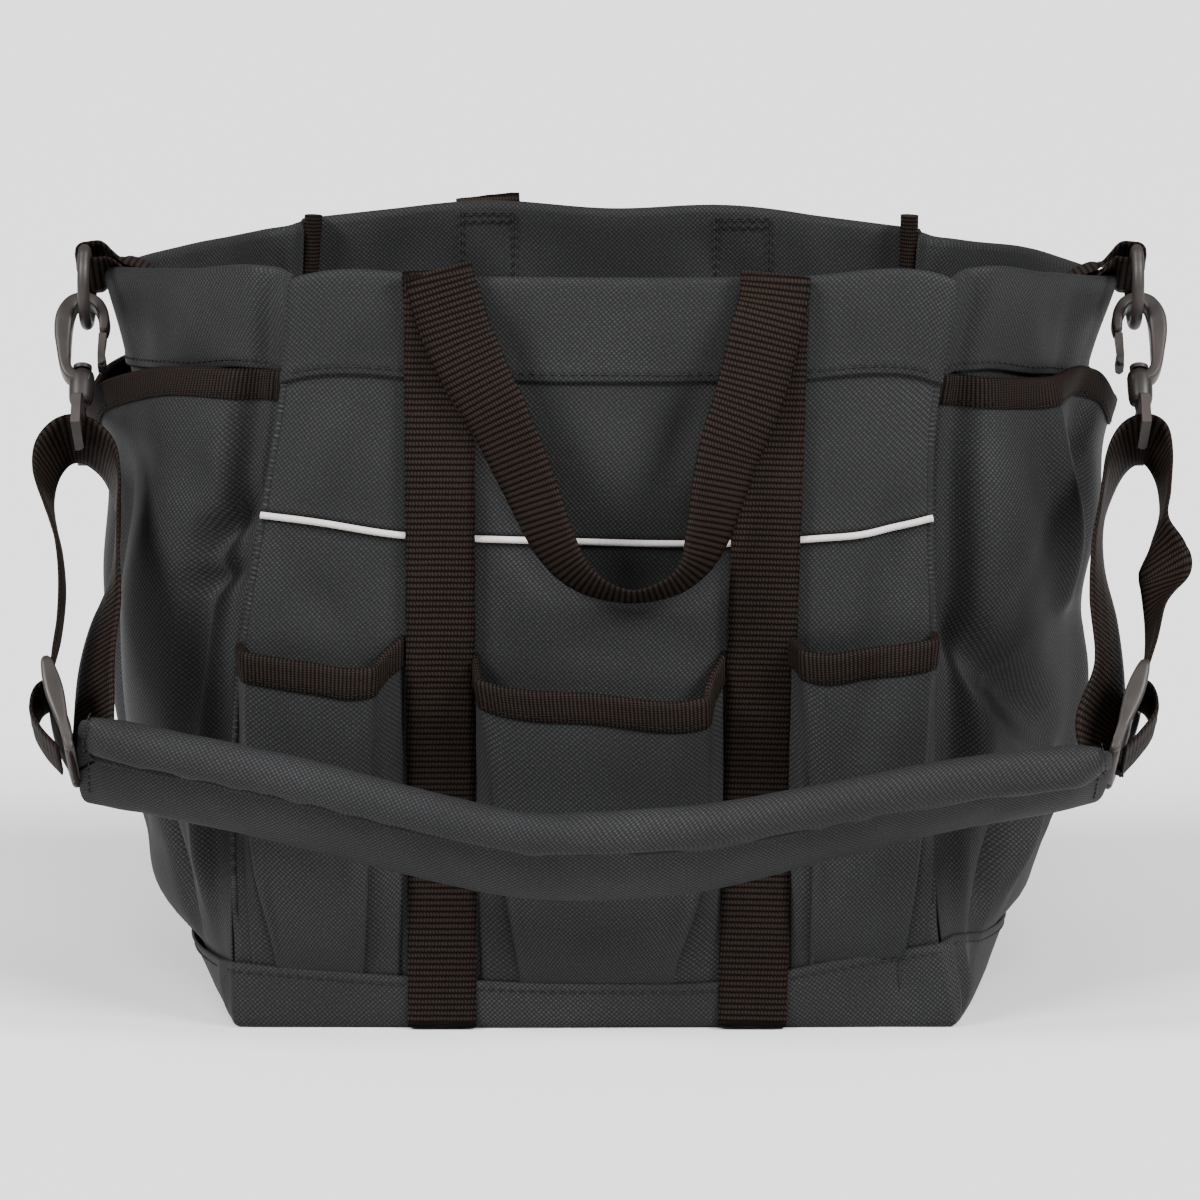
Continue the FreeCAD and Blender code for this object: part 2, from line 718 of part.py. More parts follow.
def swing(body, low, high, half_width, kind, extra=0):
    """Adds or cuts a rectangle swung about the middle of the pad's long curve.

    low and high are distances out from the pad's middle line, away from the strap's axis first.
    extra is the angle by which a cut runs past the ends."""
    middle = S.pad_end + S.pad_sag
    sketch = new_sketch(body, "YZ_Plane", 0)
    draw_outline(sketch, [(-half_width, -(middle + high)), (half_width, -(middle + high)),
                          (half_width, -(middle + low)), (-half_width, -(middle + low))])
    centre = middle - pad_radius()
    across = [Vector(-1, -centre.value, 0), Vector(1, -centre.value, 0)]
    line = sketch.addGeometry(Part.LineSegment(*across), True)
    for end, place in ((1, -1.0), (2, 1.0)):
        bind(sketch, Sketcher.Constraint("DistanceX", -1, 1, line, end, place), Size(place))
        bind(sketch, Sketcher.Constraint("DistanceY", -1, 1, line, end, -centre.value), -centre)
    feature = body.newObject(kind, body.Label + "_turn")
    feature.Profile = sketch
    feature.ReferenceAxis = (sketch, ["Axis0"])
    feature.Midplane = True
    feature.Angle = math.degrees(math.asin(S.pad_half.value / pad_radius().value)) * 2 + extra
    doc.recompute()


def shoulder_pad():
    """A fabric sleeve with foam inside, threaded on the strap's webbing."""
    half, cover = S.pad_thick / 2, S.pad_cover
    side, inside = S.pad_width / 2 - cover, half - cover
    sleeve = new_body("pad_cover")
    swing(sleeve, -half, half, S.pad_width / 2, "PartDesign::Revolution")
    before = sleeve.Shape.Volume
    swing(sleeve, -inside, inside, side, "PartDesign::Groove", extra=2)
    if sleeve.Shape.Volume > before * 0.6:
        raise RuntimeError("the pad cover is not hollow")
    hang(sleeve)
    inside = inside - 0.2
    foam = new_body("pad_foam")
    swing(foam, -(inside - S.webbing - 0.4), inside, side - 0.4, "PartDesign::Revolution")
    hang(foam)
    strap = new_body("pad_webbing")
    swing(strap, -inside, -(inside - S.webbing), S.webbing_width / 2, "PartDesign::Revolution")
    hang(strap)


def check(items):
    """Stops if any feature failed to build or any sub-part has no sound solid."""
    for item in doc.Objects:
        if "Invalid" in item.State or "Error" in item.State:
            raise RuntimeError(f"{item.Label} failed: {item.State}")
    for item in items:
        shape = item.Shape
        if shape.isNull() or not shape.isValid() or not shape.Solids:
            raise RuntimeError(f"{item.Label} is not a sound solid")


def main():
    shell_panels()
    end_panels()
    base_panel()
    base_board()
    rim_bands()
    pipings()
    seam_bindings()
    pocket_rows()
    end_pockets()
    web_straps()
    handles()
    ring_tabs()
    for side in (LEFT, RIGHT):
        for piece in (ring_loop, d_ring, hook_body, hook_gate, swivel_eye, strap_loop, slider):
            piece(side)
    shoulder_pad()
    doc.recompute()
    check(parts)
    os.makedirs("parts", exist_ok=True)
    for item in parts:
        item.Shape.exportStep(f"parts/{item.Label}.step")
    print(f"{len(parts)} sub-parts written")


main()
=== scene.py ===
import math
from functools import partial

import bmesh
import bpy
import numpy as np
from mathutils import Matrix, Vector


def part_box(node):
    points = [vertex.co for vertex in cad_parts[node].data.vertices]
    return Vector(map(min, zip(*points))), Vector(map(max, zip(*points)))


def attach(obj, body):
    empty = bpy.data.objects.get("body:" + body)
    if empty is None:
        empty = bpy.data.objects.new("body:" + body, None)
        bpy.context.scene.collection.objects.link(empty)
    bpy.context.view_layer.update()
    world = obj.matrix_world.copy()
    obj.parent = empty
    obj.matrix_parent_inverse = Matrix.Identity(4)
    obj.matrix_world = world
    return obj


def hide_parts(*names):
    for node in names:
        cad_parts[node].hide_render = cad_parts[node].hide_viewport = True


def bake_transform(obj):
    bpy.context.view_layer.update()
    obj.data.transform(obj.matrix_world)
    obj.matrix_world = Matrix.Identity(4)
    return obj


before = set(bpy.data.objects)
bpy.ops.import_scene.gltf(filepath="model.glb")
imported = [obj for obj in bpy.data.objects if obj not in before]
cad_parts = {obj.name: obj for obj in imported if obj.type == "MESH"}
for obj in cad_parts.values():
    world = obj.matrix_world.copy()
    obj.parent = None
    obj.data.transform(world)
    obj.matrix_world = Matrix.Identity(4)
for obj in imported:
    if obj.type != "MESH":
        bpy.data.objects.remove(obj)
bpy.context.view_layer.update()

# A garden tool bag of woven fabric, in metres in the frame's own axes: +X along the bag, the
# front faces -Y, Z is up. Shapes are worked out in millimetres and turned to metres in new_mesh().

MM = 0.001
LEFT, RIGHT = -1, 1
SIDES = {LEFT: "left", RIGHT: "right"}
FRONT, BACK = -1, 1
FACES = {FRONT: "front", BACK: "back"}


def place(node):
    """Lowest and highest corner of a CAD node, in mm."""
    low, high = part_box(node)
    return np.array(low) / MM, np.array(high) / MM


# ---------------------------------------------------------------- sizes (mm)

panel_low, panel_high = place("front_lower_panel")
HALF_DEPTH = -panel_low[1]                     # outside of the front and back walls
FABRIC = panel_high[1] - panel_low[1]
web_low, web_high = place("front_left_webbing")
WEB_WIDTH = web_high[0] - web_low[0]
WEB_THICK = place("base_left_webbing")[1][2]
RIM_BAND = place("front_rim_band")[1][2] - place("front_rim_band")[0][2]
BINDING = 10.5                                 # height of the tape on a pocket's edge
RIB = 2.15                                     # pitch of the ribs across webbing
TAPE_RIB = 1.45                                # pitch of the ribs across binding tape
STITCH_WIDTH = 0.62

# ---------------------------------------------------------------- small maths


def curve(at, stops):
    """A smooth curve through (place, value) stops, held level beyond both ends."""
    places, values = np.array(stops, float).T
    slopes = np.gradient(values, places)
    at = np.clip(np.asarray(at, float), places[0], places[-1])
    i = np.clip(np.searchsorted(places, at, side="right") - 1, 0, len(places) - 2)
    step = places[i + 1] - places[i]
    t = (at - places[i]) / step
    return ((2 * t**3 - 3 * t**2 + 1) * values[i] + (t**3 - 2 * t**2 + t) * step * slopes[i]
            + (-2 * t**3 + 3 * t**2) * values[i + 1] + (t**3 - t**2) * step * slopes[i + 1])


def ease(t):
    t = np.clip(t, 0.0, 1.0)
    return t * t * (3 - 2 * t)


def unit(vectors):
    vectors = np.asarray(vectors, float)
    return vectors / np.maximum(np.linalg.norm(vectors, axis=-1, keepdims=True), 1e-9)


def ways(path):
    """The way a path runs at each of its points."""
    return unit(np.gradient(path, axis=0))


def lengths(points):
    """Running length along a row of points."""
    steps = np.linalg.norm(np.diff(points, axis=0), axis=1)
    return np.concatenate([[0.0], np.cumsum(steps)])


def resample(columns, at_old, at_new):
    return np.stack([np.interp(at_new, at_old, column) for column in columns.T], axis=1)


def smooth_path(points, spacing):
    """A Catmull-Rom curve through given rows, evenly spaced by their first three numbers."""
    points = np.array(points, float)
    padded = np.vstack([2 * points[0] - points[1], points, 2 * points[-1] - points[-2]])
    t = np.linspace(0, 1, 25, endpoint=False)[:, None]
    dense = []
    for before, start, end, after in zip(padded, padded[1:], padded[2:], padded[3:]):
        square = 2 * before - 5 * start + 4 * end - after
        cube = 3 * start - before - 3 * end + after
        dense.append(0.5 * (2 * start + (end - before) * t + square * t**2 + cube * t**3))
    dense = np.vstack(dense + [points[-1:]])
    run = lengths(dense[:, :3])
    count = max(int(round(run[-1] / spacing)), 2)
    return resample(dense, run, np.linspace(0, run[-1], count + 1))


def creases(across, up, lines):
    """Soft folds: each line is (x0, z0, x1, z1, half width, height) on a flat sheet."""
    total = np.zeros(np.broadcast(across, up).shape)
    for x0, z0, x1, z1, wide, high in lines:
        dx, dz = x1 - x0, z1 - z0
        t = np.clip(((across - x0) * dx + (up - z0) * dz) / (dx * dx + dz * dz), 0, 1)
        off = np.hypot(across - x0 - t * dx, up - z0 - t * dz)
        total = total + high * np.sin(math.pi * (0.15 + 0.7 * t)) * np.exp(-(off / wide) ** 2)
    return total


WAVES = ((0.031, 0.017), (0.013, 0.043), (0.058, -0.024), (-0.037, 0.071))


def ripple(across, up, seed, high):
    """Gentle unevenness from a few crossed waves."""
    total = np.zeros(np.broadcast(across, up).shape)
    for i, (fx, fz) in enumerate(WAVES):
        total = total + np.sin(across * fx + up * fz + seed * (i + 1.7)) / (1 + 0.5 * i)
    return total * high / 2.4


# ---------------------------------------------------------------- the bag's outline
# s runs once round the bag: 0 front left corner, 1 front right corner, 2 right nose,
# 3 back right corner, 4 back left corner, 5 left nose, 6 front left corner again.

CORNERS = (0, 1, 3, 4, 6)
STARTS = {FRONT: 0, BACK: 3}                   # the s where the front and the back begin
END_MM = 105                                   # cloth to one unit of s on the ends
TINY = 1e-4                                    # keeps a panel's edge on its own side of a corner
CORNER_X = {
    0: [(0, -137), (25, -137.5), (60, -139), (140, -135), (195, -126), (240, -118.5), (277, -115)],
    1: [(0, 126), (30, 120), (60, 118.5), (145, 118), (190, 116.5), (217, 116.5), (241, 119), (277, 124.5)],
    3: [(0, 127), (140, 121), (277, 122)],
    4: [(0, -135), (140, -132), (277, -121)],
}
NOSE_X = {
    RIGHT: [(0, 142), (20, 148), (60, 158.5), (100, 166), (150, 169), (200, 174), (232, 179), (268, 190)],
    LEFT: [(0, -150), (20, -158), (60, -168), (100, -175), (150, -179), (200, -179), (232, -181), (268, -189)],
}
POCKET_NOSE_X = {
    RIGHT: [(8, 143.5), (20, 147.6), (25, 150.6), (31, 157), (42, 161.5), (62, 165.5), (87, 171),
            (118, 175.5), (143, 174.5), (176, 181), (205, 183), (219, 187), (236, 191)],
    LEFT: [(8, -152), (16, -155.4), (21, -158.2), (27, -166), (58, -175.6), (96, -184), (132, -187.5),
           (153, -189), (189, -187), (205, -188), (219, -198), (236, -203)],
}
ROUNDNESS = [(0, 1.35), (40, 1.7), (120, 1.9), (200, 1.55), (240, 1.25), (277, 1.12)]
FRONT_BULGE = [(0, 0.5), (60, 2), (140, 2.5), (182, 1.0), (200, 1.8), (236, 0.8), (277, 0.6)]
BACK_BULGE = [(0, 0.5), (100, 3), (200, 3), (250, 1), (277, 0.6)]
RIM_Z = [(0, 274.6), (0.035, 276.6), (0.25, 275.4), (0.5, 275), (0.75, 275.6), (0.965, 276.8), (1, 274.4),
         (1.05, 276), (1.5, 271), (2, 264.5), (2.45, 269),
         (3, 271.5), (3.12, 275), (3.3, 280.4), (3.5, 279), (3.72, 282), (3.86, 278.5),
         (4, 275), (4.5, 271), (5, 268.5), (5.5, 272.5), (5.95, 276), (6, 274.6)]
BOOT_Z = [(0, 25), (0.25, 20), (0.5, 17.5), (0.7, 18.5), (0.85, 26), (1, 32), (1.35, 28.5), (2, 22), (3, 22),
          (3.5, 20), (4, 22), (5, 17), (5.7, 22), (6, 25)]

FRONT_FOLDS = [(-95, 232, -112, 190, 9, 2.6), (-20, 226, 12, 196, 16, 2.6), (30, 236, 22, 205, 7, -2.2),
               (95, 228, 84, 150, 10, 3.0), (104, 190, 92, 110, 7, -2.6), (-112, 170, -98, 145, 8, -2.4),
               (6, 170, 0, 140, 18, 2.4), (-88, 270, -96, 246, 9, 2.0), (88, 272, 96, 245, 8, 1.8),
               (-38, 262, -30, 236, 7, -1.6), (12, 266, 20, 244, 10, 1.6),
               (-63, 118, -63, 48, 17, -6.0), (52, 118, 52, 48, 17, -6.0)]
BACK_FOLDS = [(-80, 270, -96, 215, 10, 3), (-60, 276, -30, 236, 9, -2.4), (30, 276, 62, 230, 11, 3),
              (78, 274, 84, 235, 7, -3.2), (0, 240, 8, 120, 22, 2), (-50, 180, -70, 60, 16, 2),
              (70, 200, 60, 80, 15, -2)]
END_FOLDS = {
    RIGHT: [(-70, 268, -52, 236, 9, 2.2), (-36, 262, -30, 230, 8, -1.6), (34, 262, 20, 225, 9, -2.5),
            (62, 268, 70, 225, 10, 2.5)],
    LEFT: [(-64, 268, -50, 240, 10, 1.8), (-26, 262, -20, 236, 8, -1.4), (30, 266, 22, 230, 9, 2.4),
           (66, 268, 58, 232, 9, -2.2)],
}

END_POCKET_FOLDS = {
    RIGHT: [(-58, 226, -42, 152, 7, 5.0), (-36, 224, -24, 156, 8, -3.0), (-104, 152, -80, 126, 8, -4.2),
            (-80, 126, -52, 102, 9, -4.5), (-86, 216, -70, 146, 17, 3.4), (-92, 112, -84, 82, 9, 2.2),
            (-66, 82, -80, 32, 6, -4.8), (-47, 88, -62, 34, 7, 4.0), (-96, 80, -92, 34, 5, 2.0),
            (-20, 130, -18, 60, 9, 2.5), (30, 214, 44, 90, 10, 4), (66, 200, 60, 90, 9, -4), (88, 150, 84, 60, 8, 3)],
    LEFT: [(-106, 198, -86, 176, 5, -4.2), (-86, 180, -84, 104, 5.5, -3.8), (-104, 168, -82, 161, 4.5, -3.0),
           (-66, 220, -58, 110, 16, 3.6), (-98, 152, -95, 104, 5, 2.4), (-88, 216, -96, 196, 9, 2.0),
           (-58, 92, -72, 34, 6, -4.6), (-92, 92, -90, 32, 7, 3.0), (-34, 190, -26, 70, 9, -2.5),
           (32, 214, 50, 100, 10, 4), (64, 210, 70, 80, 9, -4), (90, 140, 86, 50, 8, 3)],
}


PINCH = [(0, 0.2), (30, 0.7), (150, 1.35), (235, 1.2), (277, 0.9)]
TRENCH = [(0, 0.2), (30, 1.0), (60, 4.5), (150, 7.5), (225, 7.0), (240, 5.0), (277, 2.6)]
VALLEY = [(0, 0.0), (25, 0.8), (70, 10.0), (150, 13.0), (200, 11.5), (225, 9.0), (240, 7.5), (277, 5.5)]
SEAM_TURN, SEAM_WIDTH = 0.012, 0.024           # in s


def corner_pinch(s, z):
    """The wall is drawn in along the four sewn corners. On the ends' side it turns in sharply at the
    seam and comes out again through a broad valley."""
    pinch, trench, valley = (curve(z, stops) for stops in (PINCH, TRENCH, VALLEY))
    total = 0 * s
    for corner, way in zip(CORNERS, (-1, 1, -1, 1, -1)):
        off = (s - corner) * way
        total = total + pinch * np.exp(-(off / SEAM_WIDTH) ** 2)
        total = total + trench * np.clip(off / SEAM_TURN, 0, 1) * np.exp(-((off - SEAM_TURN) / SEAM_WIDTH) ** 2)
        total = total + valley * np.clip(off / 0.03, 0, 1) * np.exp(-((off - 0.07) / 0.062) ** 2)
    return -total


def wall(s, z, nose=None, calm=False):
    """A point on the outside of the walls. nose overrides how far the ends reach; calm leaves out
    the folds."""
    s, z = np.broadcast_arrays(np.asarray(s, float) % 6.0, np.asarray(z, float))
    nose = nose or NOSE_X
    x, y, push_x, push_y = (np.zeros(s.shape) for _ in range(4))

    front, back = s < 1, (s >= 3) & (s < 4)
    for mask, left, right, side, bulge, folds, seed in (
            (front, 0, 1, FRONT, FRONT_BULGE, FRONT_FOLDS, 1.0), (back, 4, 3, BACK, BACK_BULGE, BACK_FOLDS, 4.0)):
        t = np.where(side == FRONT, s, 4 - s)[mask]
        low, high = curve(z[mask], CORNER_X[left]), curve(z[mask], CORNER_X[right])
        x[mask] = low + (high - low) * t
        crown = 1 - (2 * t - 1) ** 2
        y[mask] = side * (HALF_DEPTH + curve(z[mask], bulge) * crown)
        level = creases(x[mask], z[mask], folds) + ripple(x[mask], z[mask], seed, 0.9)
        push_y[mask] = side * level * np.minimum(crown * 3, 1)

    for side, middle, front_corner, back_corner in ((RIGHT, 2, 1, 3), (LEFT, 5, 0, 4)):
        mask = ((s >= 1) & (s < 3)) if side == RIGHT else (s >= 4)
        q = (s[mask] - middle) * side
        corner = np.where(q < 0, curve(z[mask], CORNER_X[front_corner]), curve(z[mask], CORNER_X[back_corner]))
        reach = curve(z[mask], nose[side])
        power = curve(z[mask], ROUNDNESS)
        x[mask] = corner + (reach - corner) * (1 - np.abs(q) ** power)
        y[mask] = q * HALF_DEPTH
        flat = q * END_MM
        level = creases(flat, z[mask], END_FOLDS[side]) + ripple(flat, z[mask], 2.0 + side, 0.9)
        valleys = np.minimum(creases(flat, z[mask], END_POCKET_FOLDS[side]), 0)
        level = level + 2.4 * valleys * ease(z[mask] / 60)
        fade = np.minimum((1 - np.abs(q)) * 6, 1)
        push_x[mask] = side * 0.86 * level * fade
        push_y[mask] = 0.5 * np.sign(q) * level * fade

    if calm:
        return np.stack([x, y, z], axis=-1)
    pinch = corner_pinch(s, z)
    x = x + push_x + np.sign(x) * 0.35 * pinch
    y = y + push_y + np.sign(y) * 0.93 * pinch
    return np.stack([x, y, z], axis=-1)


def wall_normal(s, z, nose=None):
    along = wall(s + 0.012, z, nose, True) - wall(s - 0.012, z, nose, True)
    up = wall(s, z + 1.5, nose, True) - wall(s, z - 1.5, nose, True)
    return unit(np.cross(along, up))


def skin(s, z, out, nose=None):
    """A point at a distance outside (or inside, if negative) the walls."""
    return wall(s, z, nose) + wall_normal(s, z, nose) * np.asarray(out, float)[..., None]


def front_s(x, z, face=FRONT):
    """The s of a place x along the front or back wall."""
    left, right = (0, 1) if face == FRONT else (4, 3)
    t = (x - curve(z, CORNER_X[left])) / (curve(z, CORNER_X[right]) - curve(z, CORNER_X[left]))
    return t if face == FRONT else 4 - t


def rim_z(s):
    return curve(np.asarray(s) % 6.0, RIM_Z) + ripple(np.asarray(s) % 6.0 * 100, 0, 5.0, 0.5)


def boot_z(s):
    return curve(np.asarray(s) % 6.0, BOOT_Z)


def around(first, last, step=0.02):
    """Values of s from first to last, closer together beside the sewn corners."""
    values = list(np.linspace(first, last, max(int(round((last - first) / step)), 2) + 1))
    near = [corner + off for corner in CORNERS for off in (-0.05, -0.03, -0.015, 0.0, 0.015, 0.03, 0.05)]
    values += [value for value in near if first < value < last]
    return np.array(sorted(set(np.round(values, 5))))


def end_share(s):
    """1 on the ends, falling to 0 at the corners and on the front and back."""
    gap = np.abs(s[:, None] - np.array(CORNERS)).min(axis=1)
    return np.where(((s > 1) & (s < 3)) | (s > 4), ease(gap / 0.15), 0.0)


# ---------------------------------------------------------------- meshes

def new_mesh(name, points, faces, material, uv=None, smooth=True):
    """Makes an object from points in mm."""
    mesh = bpy.data.meshes.new(name)
    mesh.from_pydata((np.asarray(points, float) * MM).tolist(), [], faces)
    mesh.update()
    if uv is not None:
        layer = mesh.uv_layers.new(name="cloth")
        corners = np.zeros(len(mesh.loops), int)
        mesh.loops.foreach_get("vertex_index", corners)
        layer.data.foreach_set("uv", (np.asarray(uv, float)[corners] * MM).ravel())
    mesh.polygons.foreach_set("use_smooth", [smooth] * len(mesh.polygons))
    mesh.materials.append(material)
    piece = bpy.data.objects.new(name, mesh)
    bpy.context.scene.collection.objects.link(piece)
    return piece


def grid_faces(rows, columns, closed=False):
    """Quads over a grid, joined round the columns if closed."""
    faces = []
    for i in range(rows - 1):
        for j in range(columns if closed else columns - 1):
            k = (j + 1) % columns
            faces.append((i * columns + j, i * columns + k, (i + 1) * columns + k, (i + 1) * columns + j))
    return faces


def tube_faces(rows, columns):
    """Quads round a tube, and a face at each end."""
    ends = [tuple(range(columns))[::-1], tuple((rows - 1) * columns + j for j in range(columns))]
    return grid_faces(rows, columns, closed=True) + ends


def sheet(name, points, thick, flip=False, even=False):
    """A cloth sheet from a grid of points, given real thickness. even keeps the weave straight
    where folds make some rows longer than others."""
    rows, columns = points.shape[:2]
    faces = grid_faces(rows, columns)
    if flip:
        faces = [face[::-1] for face in faces]
    across = np.stack([lengths(row) for row in points])
    up = np.stack([lengths(points[:, j]) for j in range(columns)], axis=1)
    if even:
        across = across.mean(axis=0, keepdims=True) + 0 * up
        up = up.mean(axis=1, keepdims=True) + 0 * across
    uv = np.stack([across, up], axis=-1).reshape(-1, 2)
    piece = new_mesh(name, points.reshape(-1, 3), faces, CLOTH, uv)
    solid = piece.modifiers.new("thickness", "SOLIDIFY")
    solid.thickness, solid.offset = thick * MM, -1.0
    return piece


def sweep(name, centres, sides, fronts, profile, material, rib=None, size=None):
    """Carries a closed profile of (side, front) points along a path. rib is the pitch and height of
    ribs across it. size, a (side, front) pair for each point of the path, makes it wider or narrower."""
    profile = np.array(profile, float)
    outward = unit(profile - profile.mean(axis=0)) * (0.0, 1.0)
    run = lengths(centres)
    shaped = profile[None] * (1.0 if size is None else size[:, None])
    if rib:
        wave = rib[1] * (np.abs(np.sin(math.pi * run / rib[0])) ** 0.6 - 0.5)
        shaped = shaped + outward[None] * wave[:, None, None]
    points = centres[:, None] + shaped[..., :1] * sides[:, None] + shaped[..., 1:] * fronts[:, None]
    girth = lengths(np.vstack([profile, profile[:1]]))[:-1]
    uv = np.stack(np.meshgrid(girth, run), axis=-1).reshape(-1, 2)
    return new_mesh(name, points.reshape(-1, 3), tube_faces(*points.shape[:2]), material, uv)


def circle(half_side, half_front, count):
    """A round section."""
    angles = np.linspace(0, 2 * math.pi, count, endpoint=False)
    return [(half_side * math.cos(a), half_front * math.sin(a)) for a in angles]


def rounded(half_side, half_front, corner, steps=5, middle=0.0):
    """A rectangle with round corners."""
    points = []
    for side, front, start in ((1, 1, 0), (-1, 1, 90), (-1, -1, 180), (1, -1, 270)):
        for a in np.radians(np.linspace(start, start + 90, steps)):
            points.append((middle + side * (half_side - corner) + corner * math.cos(a),
                           front * (half_front - corner) + corner * math.sin(a)))
    return points


def band_profile(wide, thick):
    """A flat strip's section with softened edges."""
    across = np.linspace(-wide / 2, wide / 2, 9)
    edge = np.clip((wide / 2 - np.abs(across)) / 0.9, 0, 1)
    level = thick / 2 * (0.45 + 0.55 * np.sqrt(edge))
    return list(zip(across, level)) + list(zip(across, -level))[::-1]


def webbing(name, path, sides, fronts):
    """A strap of ribbed webbing along a path, with the ways its width and its face look."""
    return sweep(name, path, sides, fronts, band_profile(WEB_WIDTH, WEB_THICK - 0.3), WEB, (RIB, 0.5))


def flat_webbing(name, path, fronts):
    """A strap of webbing whose face looks the given way all along."""
    along = ways(path)
    sides = unit(np.cross(along, fronts))
    return webbing(name, path, sides, unit(np.cross(sides, along)))


def stitches(name, rows, material, pitch=3.7, length=2.7, high=0.42):
    """Rows of separate thread stitches. rows: [(points, normals), ...] in mm."""
    ring = 6
    angles = np.arange(ring) * 2 * math.pi / ring
    shape = [(-0.5, 0, 0)]
    for along in (-0.34, 0.34):
        shape += [(along, 0.425 * math.cos(angle), 0.425 * math.sin(angle)) for angle in angles]
    shape = np.array(shape + [(0.5, 0, 0)]) * (length, STITCH_WIDTH, high * 2)
    far = 1 + ring
    template = [(0, 1 + (j + 1) % ring, 1 + j) for j in range(ring)]
    template += [(1 + j, 1 + (j + 1) % ring, far + (j + 1) % ring, far + j) for j in range(ring)]
    template += [(far + j, far + (j + 1) % ring, far + ring) for j in range(ring)]
    points, faces = [], []
    for path, normals in rows:
        run = lengths(path)
        at = np.arange(pitch / 2, run[-1], pitch)
        middles = resample(path, run, at)
        along = unit(resample(path, run, np.minimum(at + 0.5, run[-1])) - resample(path, run, at - 0.5))
        up = unit(resample(normals, run, at))
        for middle, a, b, c in zip(middles, along, unit(np.cross(up, along)), up):
            faces += [tuple(len(points) + k for k in face) for face in template]
            points += list(middle + shape[:, :1] * a + shape[:, 1:2] * b + shape[:, 2:] * c)
    return new_mesh(name, points, faces, material)


def skin_row(s, z, out):
    """A row of points on the walls and the walls' normals there."""
    return skin(s, z, out), wall_normal(s, z)


def ride_all(body, *pieces):
    for piece in pieces:
        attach(piece, body)


def wear(body, piece, *nodes):
    """The piece moves with a body and stands for CAD nodes."""
    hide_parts(*nodes)
    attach(piece, body)


# ---------------------------------------------------------------- materials

def new_material(name, colour, roughness, specular=0.3):
    material = bpy.data.materials.new(name)
    material.use_nodes = True
    shader = material.node_tree.nodes["Principled BSDF"]
    shader.inputs["Base Color"].default_value = (*colour, 1)
    shader.inputs["Roughness"].default_value = roughness
    shader.inputs["Specular IOR Level"].default_value = specular
    return material, material.node_tree, shader


def node(tree, kind, **settings):
    item = tree.nodes.new("ShaderNode" + kind)
    for key, value in settings.items():
        setattr(item, key, value)
    return item


def join(tree, operation, first, second=0, clamp=False):
    """A math node on two values, each a socket or a number."""
    item = node(tree, "Math", operation=operation, use_clamp=clamp)
    for socket, value in zip(item.inputs, (first, second)):
        if isinstance(value, (int, float)):
            socket.default_value = value
        else:
            tree.links.new(value, socket)
    return item.outputs[0]


def ramp(tree, source, stops, socket):
    """Colours by the source's value, into a socket of the shader."""
    item = node(tree, "ValToRGB")
    tree.links.new(source, item.inputs[0])
    elements = item.color_ramp.elements
    while len(elements) < len(stops):
        elements.new(0.5)
    for element, (at, colour) in zip(elements, stops):
        element.position = at
        element.color = (*colour, 1)
    tree.links.new(item.outputs[0], socket)


def noise(tree, where, scale, detail):
    item = node(tree, "TexNoise")
    item.inputs["Scale"].default_value = scale
    item.inputs["Detail"].default_value = detail
    tree.links.new(where, item.inputs["Vector"])
    return item.outputs["Fac"]


def bump(tree, shader, height, strength, depth):
    item = node(tree, "Bump")
    item.inputs["Strength"].default_value = strength
    item.inputs["Distance"].default_value = depth * MM
    tree.links.new(height, item.inputs["Height"])
    tree.links.new(item.outputs[0], shader.inputs["Normal"])


def cloth_material(name, colour, light, pitch, roughness, depth, rib=None, contrast=0.5, specular=0.1,
                   use_uv=True):
    """Woven cloth: threads that pass over and under, slubs, and a little fading. rib is the pitch of
    ribs across the cloth, with a row of slanting threads on each; without it the weave is plain."""
    material, tree, shader = new_material(name, colour, roughness, specular)
    calc = partial(join, tree)
    source = node(tree, "UVMap", uv_map="cloth") if use_uv else node(tree, "TexCoord")
    where = source.outputs["UV" if use_uv else "Object"]
    split = node(tree, "SeparateXYZ")
    tree.links.new(where, split.inputs[0])
    along, up = split.outputs[0], split.outputs[1 if use_uv else 2]
    slub, cloud = noise(tree, where, 900, 2), noise(tree, where, 14, 3)
    turns = 2 * math.pi / (pitch * MM)
    wander = calc("MULTIPLY", cloud, 14)
    u = calc("ADD", calc("MULTIPLY", along, turns), wander)
    if rib is None:
        v = calc("SUBTRACT", calc("MULTIPLY", up, turns), wander)
        product = calc("MULTIPLY", calc("SINE", u), calc("SINE", v))
        weave = calc("ADD", calc("MULTIPLY", product, 0.5), 0.5)
    else:
        row = calc("DIVIDE", up, rib * MM)
        ridge = calc("POWER", calc("ABSOLUTE", calc("SINE", calc("MULTIPLY", row, math.pi))), 0.8)
        shift = calc("ADD", calc("MULTIPLY", calc("FLOOR", row), math.pi), calc("MULTIPLY", row, 2.4))
        dash = calc("SINE", calc("ADD", u, shift))
        weave = calc("MULTIPLY", ridge, calc("ADD", calc("MULTIPLY", dash, 0.24), 0.76))
    patches = calc("ADD", calc("MULTIPLY", slub, 0.3), calc("MULTIPLY", cloud, 0.34))
    tone = calc("ADD", calc("MULTIPLY", weave, contrast), patches)
    dark = tuple(c * 0.42 for c in colour)
    ramp(tree, tone, [(0.22, dark), (0.62, colour), (1.0, light)], shader.inputs["Base Color"])
    ramp(tree, tone, [(0.2, (roughness + 0.1,) * 3), (1.0, (roughness - 0.08,) * 3)],
         shader.inputs["Roughness"])
    bump(tree, shader, tone, 0.55, depth)
    return material


